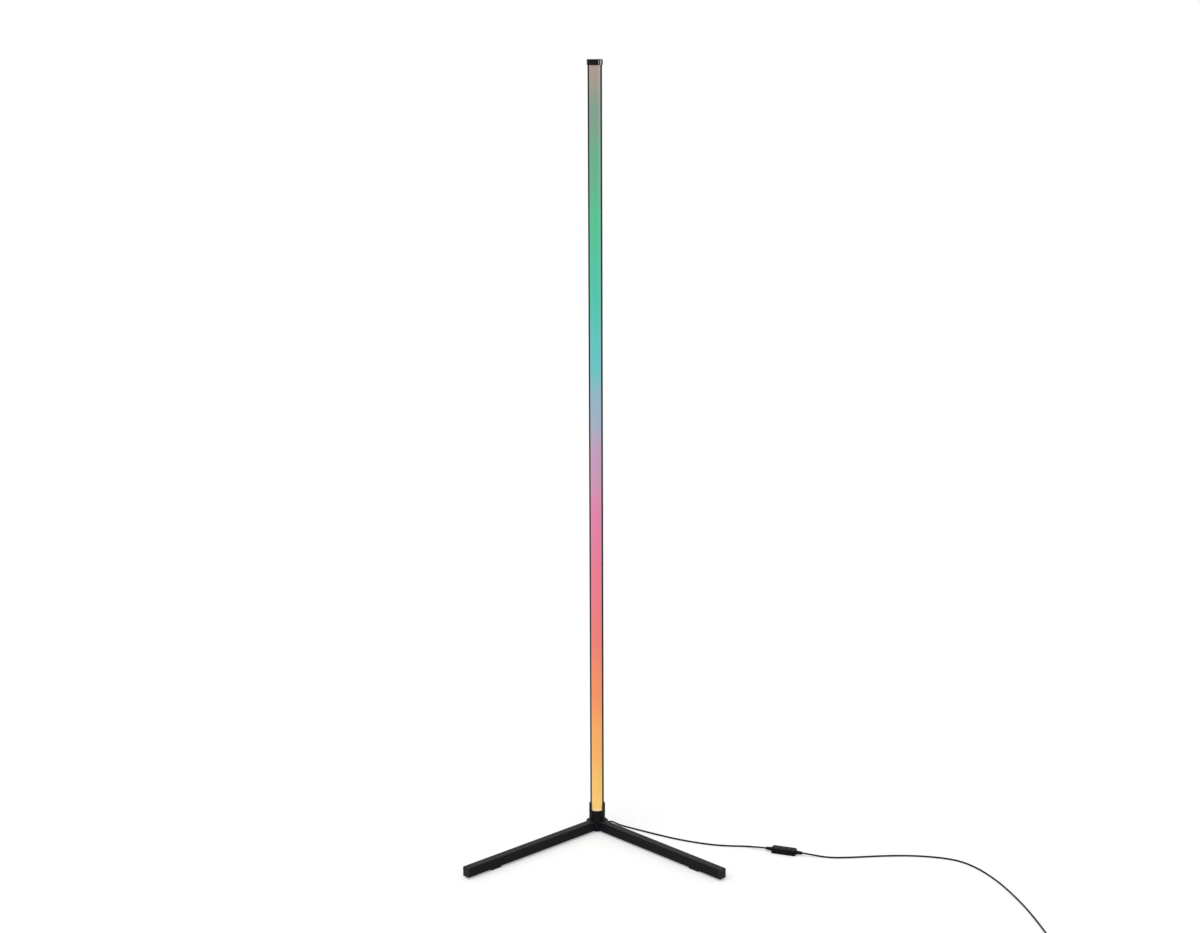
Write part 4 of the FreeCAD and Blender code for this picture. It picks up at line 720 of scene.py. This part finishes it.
# %% A strap round the coil
TIE_WIDTH, TIE_CORNER = 6.0 * MM, 1.1 * MM
TIE_WALL = TIE_THICKNESS * 0.95    # a little thin, so that its two layers stay apart
tie = bmesh.new()
tie_outline = [(15.0, 7.5), (23.35, 7.5), (23.35, 0.6), (12.3, 0.6), (12.3, 7.6), (16.4, 8.15),
               (26.6, 8.15)]
pen_line(tie, [(x * MM, -TIE_WIDTH / 2, z * MM) for x, z in tie_outline])
tie.verts.ensure_lookup_table()
bmesh.ops.bevel(tie, geom=[tie.verts[i] for i in range(1, len(tie_outline) - 1)], affect="VERTICES",
                offset=TIE_CORNER, segments=5, profile=0.5, material=-1)
widened = bmesh.ops.extrude_edge_only(tie, edges=tie.edges[:])
bmesh.ops.translate(tie, vec=(0, TIE_WIDTH, 0),
                    verts=[v for v in widened["geom"] if isinstance(v, bmesh.types.BMVert)])
bmesh.ops.recalc_face_normals(tie, faces=tie.faces)
bmesh.ops.solidify(tie, geom=tie.faces[:], thickness=TIE_WALL)
tie_place = Matrix.Translation(COIL_CENTRE) @ Matrix.Rotation(math.pi + COIL_ENTRY, 4, "Z")

# %% The tie's woven tape
weave = new_finish("tie_tape", 0.9, mirror=0.1, Sheen_Weight=0.25, Sheen_Roughness=0.4)
tree = weave.node_tree
shader = tree.nodes["Principled BSDF"]
turned = node_of(tree, "Mapping", vector_type="TEXTURE")
turned.inputs["Rotation"].default_value = (0, 0, math.pi + COIL_ENTRY)
turned.inputs["Location"].default_value = COIL_CENTRE
tree.links.new(node_of(tree, "TexCoord").outputs["Object"], turned.inputs["Vector"])
THREAD, THREAD_WOBBLE, WEAVE_DEPTH = 0.55 * MM, 0.6, 0.15 * MM
WEAVE_SCALE = math.tau / (20.0 * THREAD)    # the node has 20 / tau bands at a scale of 1
threads = []
for way, phase in (("X", 0.0), ("Y", 0.5)):
    band = node_of(tree, "TexWave", wave_type="BANDS", bands_direction=way)
    band.inputs["Scale"].default_value = WEAVE_SCALE
    band.inputs["Distortion"].default_value = THREAD_WOBBLE
    band.inputs["Phase Offset"].default_value = phase
    tree.links.new(turned.outputs["Vector"], band.inputs["Vector"])
    threads.append(band.outputs["Fac"])
woven = maths(tree, "MULTIPLY", threads[0], threads[1])
tape = mixed(tree, woven, shade(22, 22, 24), shade(58, 57, 60))
tree.links.new(tape, shader.inputs["Base Color"])
bump = node_of(tree, "Bump")
bump.inputs["Distance"].default_value = WEAVE_DEPTH
tree.links.new(woven, bump.inputs["Height"])
tree.links.new(bump.outputs["Normal"], shader.inputs["Normal"])
finishes["tie_fabric"] = weave
tie_strap = finish_piece("tie_strap", tie, "tie_fabric", ["coil_tie"], turn=tie_place)

# %% [markdown]
# ### The plug
# The flat 5 V plug has a moulded grip round the root of its metal shell. The grip is a block with
# rounded edges, drawn in a little at the back, with a sunk panel above and below. Small ridges
# stand in the panels for the fingers, and a ringed boot leads the cord in. The edges are rounded
# before the panels are sunk, because a bevel slides along any edge that meets it at a corner.

# %% The grip and its boot
PLUG_BACK = Vector((0.7004, -0.5255, 0.0042))
BOOT_LENGTH, GRIP_LENGTH, GRIP_WIDTH, GRIP_THICKNESS = 10 * MM, 24 * MM, 15.5 * MM, 8.4 * MM
LONG_ROUND, BACK_ROUND = 1.9 * MM, 1.2 * MM
PANEL_BORDER, PANEL_SINK = 0.8 * MM, 0.45 * MM
RIDGE_COUNT, RIDGE_PITCH, RIDGE_HEIGHT = 6, 2.4 * MM, 3.85 * MM    # height above the plug's middle
RIDGE_SIZE, RIDGE_ROUND = (0.9 * MM, 8.2 * MM, 0.6 * MM), 0.25 * MM
plug_place = Matrix.Translation(PLUG_BACK) @ Matrix.Rotation(math.pi, 4, "Z")


def block(mesh, size, middle):
    """Add a block of a size about a middle; returns its new vertices."""
    made = bmesh.ops.create_cube(mesh, size=1.0)["verts"]
    bmesh.ops.scale(mesh, vec=size, verts=made)
    bmesh.ops.translate(mesh, vec=middle, verts=made)
    return made


def edges_along(verts, axis):
    """The edges among these vertices that run along one axis."""
    edges = {edge for v in verts for edge in v.link_edges}
    return [e for e in edges if abs((e.verts[0].co - e.verts[1].co).normalized()[axis]) > 0.999]


grip = bmesh.new()
block(grip, (GRIP_LENGTH, GRIP_WIDTH, GRIP_THICKNESS), (BOOT_LENGTH + GRIP_LENGTH / 2, 0, 0))
bmesh.ops.bevel(grip, geom=edges_along(grip.verts, 0), affect="EDGES", offset=LONG_ROUND,
                segments=6, profile=0.5, material=-1)
back = [e for e in grip.edges if all(v.co.x < BOOT_LENGTH + 1e-5 for v in e.verts)]
bmesh.ops.bevel(grip, geom=back, affect="EDGES", offset=BACK_ROUND, segments=4, profile=0.5,
                material=-1)
grip.normal_update()
panels = [f for f in grip.faces if abs(f.normal.z) > 0.999 and f.calc_area() > (8 * MM) ** 2]
bmesh.ops.inset_individual(grip, faces=panels, thickness=PANEL_BORDER)
bmesh.ops.inset_individual(grip, faces=panels, thickness=PANEL_SINK, depth=-PANEL_SINK)
print(len(panels), "sunk panels in the grip")
for i in range(RIDGE_COUNT):
    middle = BOOT_LENGTH + GRIP_LENGTH / 2 + (i - (RIDGE_COUNT - 1) / 2) * RIDGE_PITCH
    for side in (-1, 1):
        ridge = block(grip, RIDGE_SIZE, (middle, 0, side * RIDGE_HEIGHT))
        bmesh.ops.bevel(grip, geom=edges_along(ridge, 1), affect="EDGES", offset=RIDGE_ROUND,
                        segments=3, profile=0.5, material=-1)
plug_grip = finish_piece("plug_grip", grip, "plug_black", ["plug_overmould"], turn=plug_place)
plug_boot_line = ringed_line(length=BOOT_LENGTH, root=3.2 * MM, tip=2.1 * MM, rings=4,
                             depth=0.45 * MM, into=1.0 * MM)
boot_place = (plug_place @ Matrix.Translation((BOOT_LENGTH, 0, 0))
              @ Matrix.Rotation(math.pi, 4, "Z"))
plug_boot = finish_piece("plug_boot", spun(plug_boot_line), "cord_black", ["plug_strain_relief"],
                         turn=boot_place)

# %% [markdown]
# ## Dressing the solids
# The record names a slot for every solid, and the finishes carry the same names, so one loop
# dresses them all. The leads get the cord's finish and hide the solids of the lead.

# %% A finish for every solid
for row in frame["record"]["subparts"]:
    for material_slot in frame["nodes"][row["node"]].material_slots:
        material_slot.material = finishes[row["material_slot"]]
dress(lamp_lead, "cord_black", ["cord_lamp_side"])
dress(supply_lead, "cord_black", ["cord_plug_side", "cord_coil", "cord_tail"])
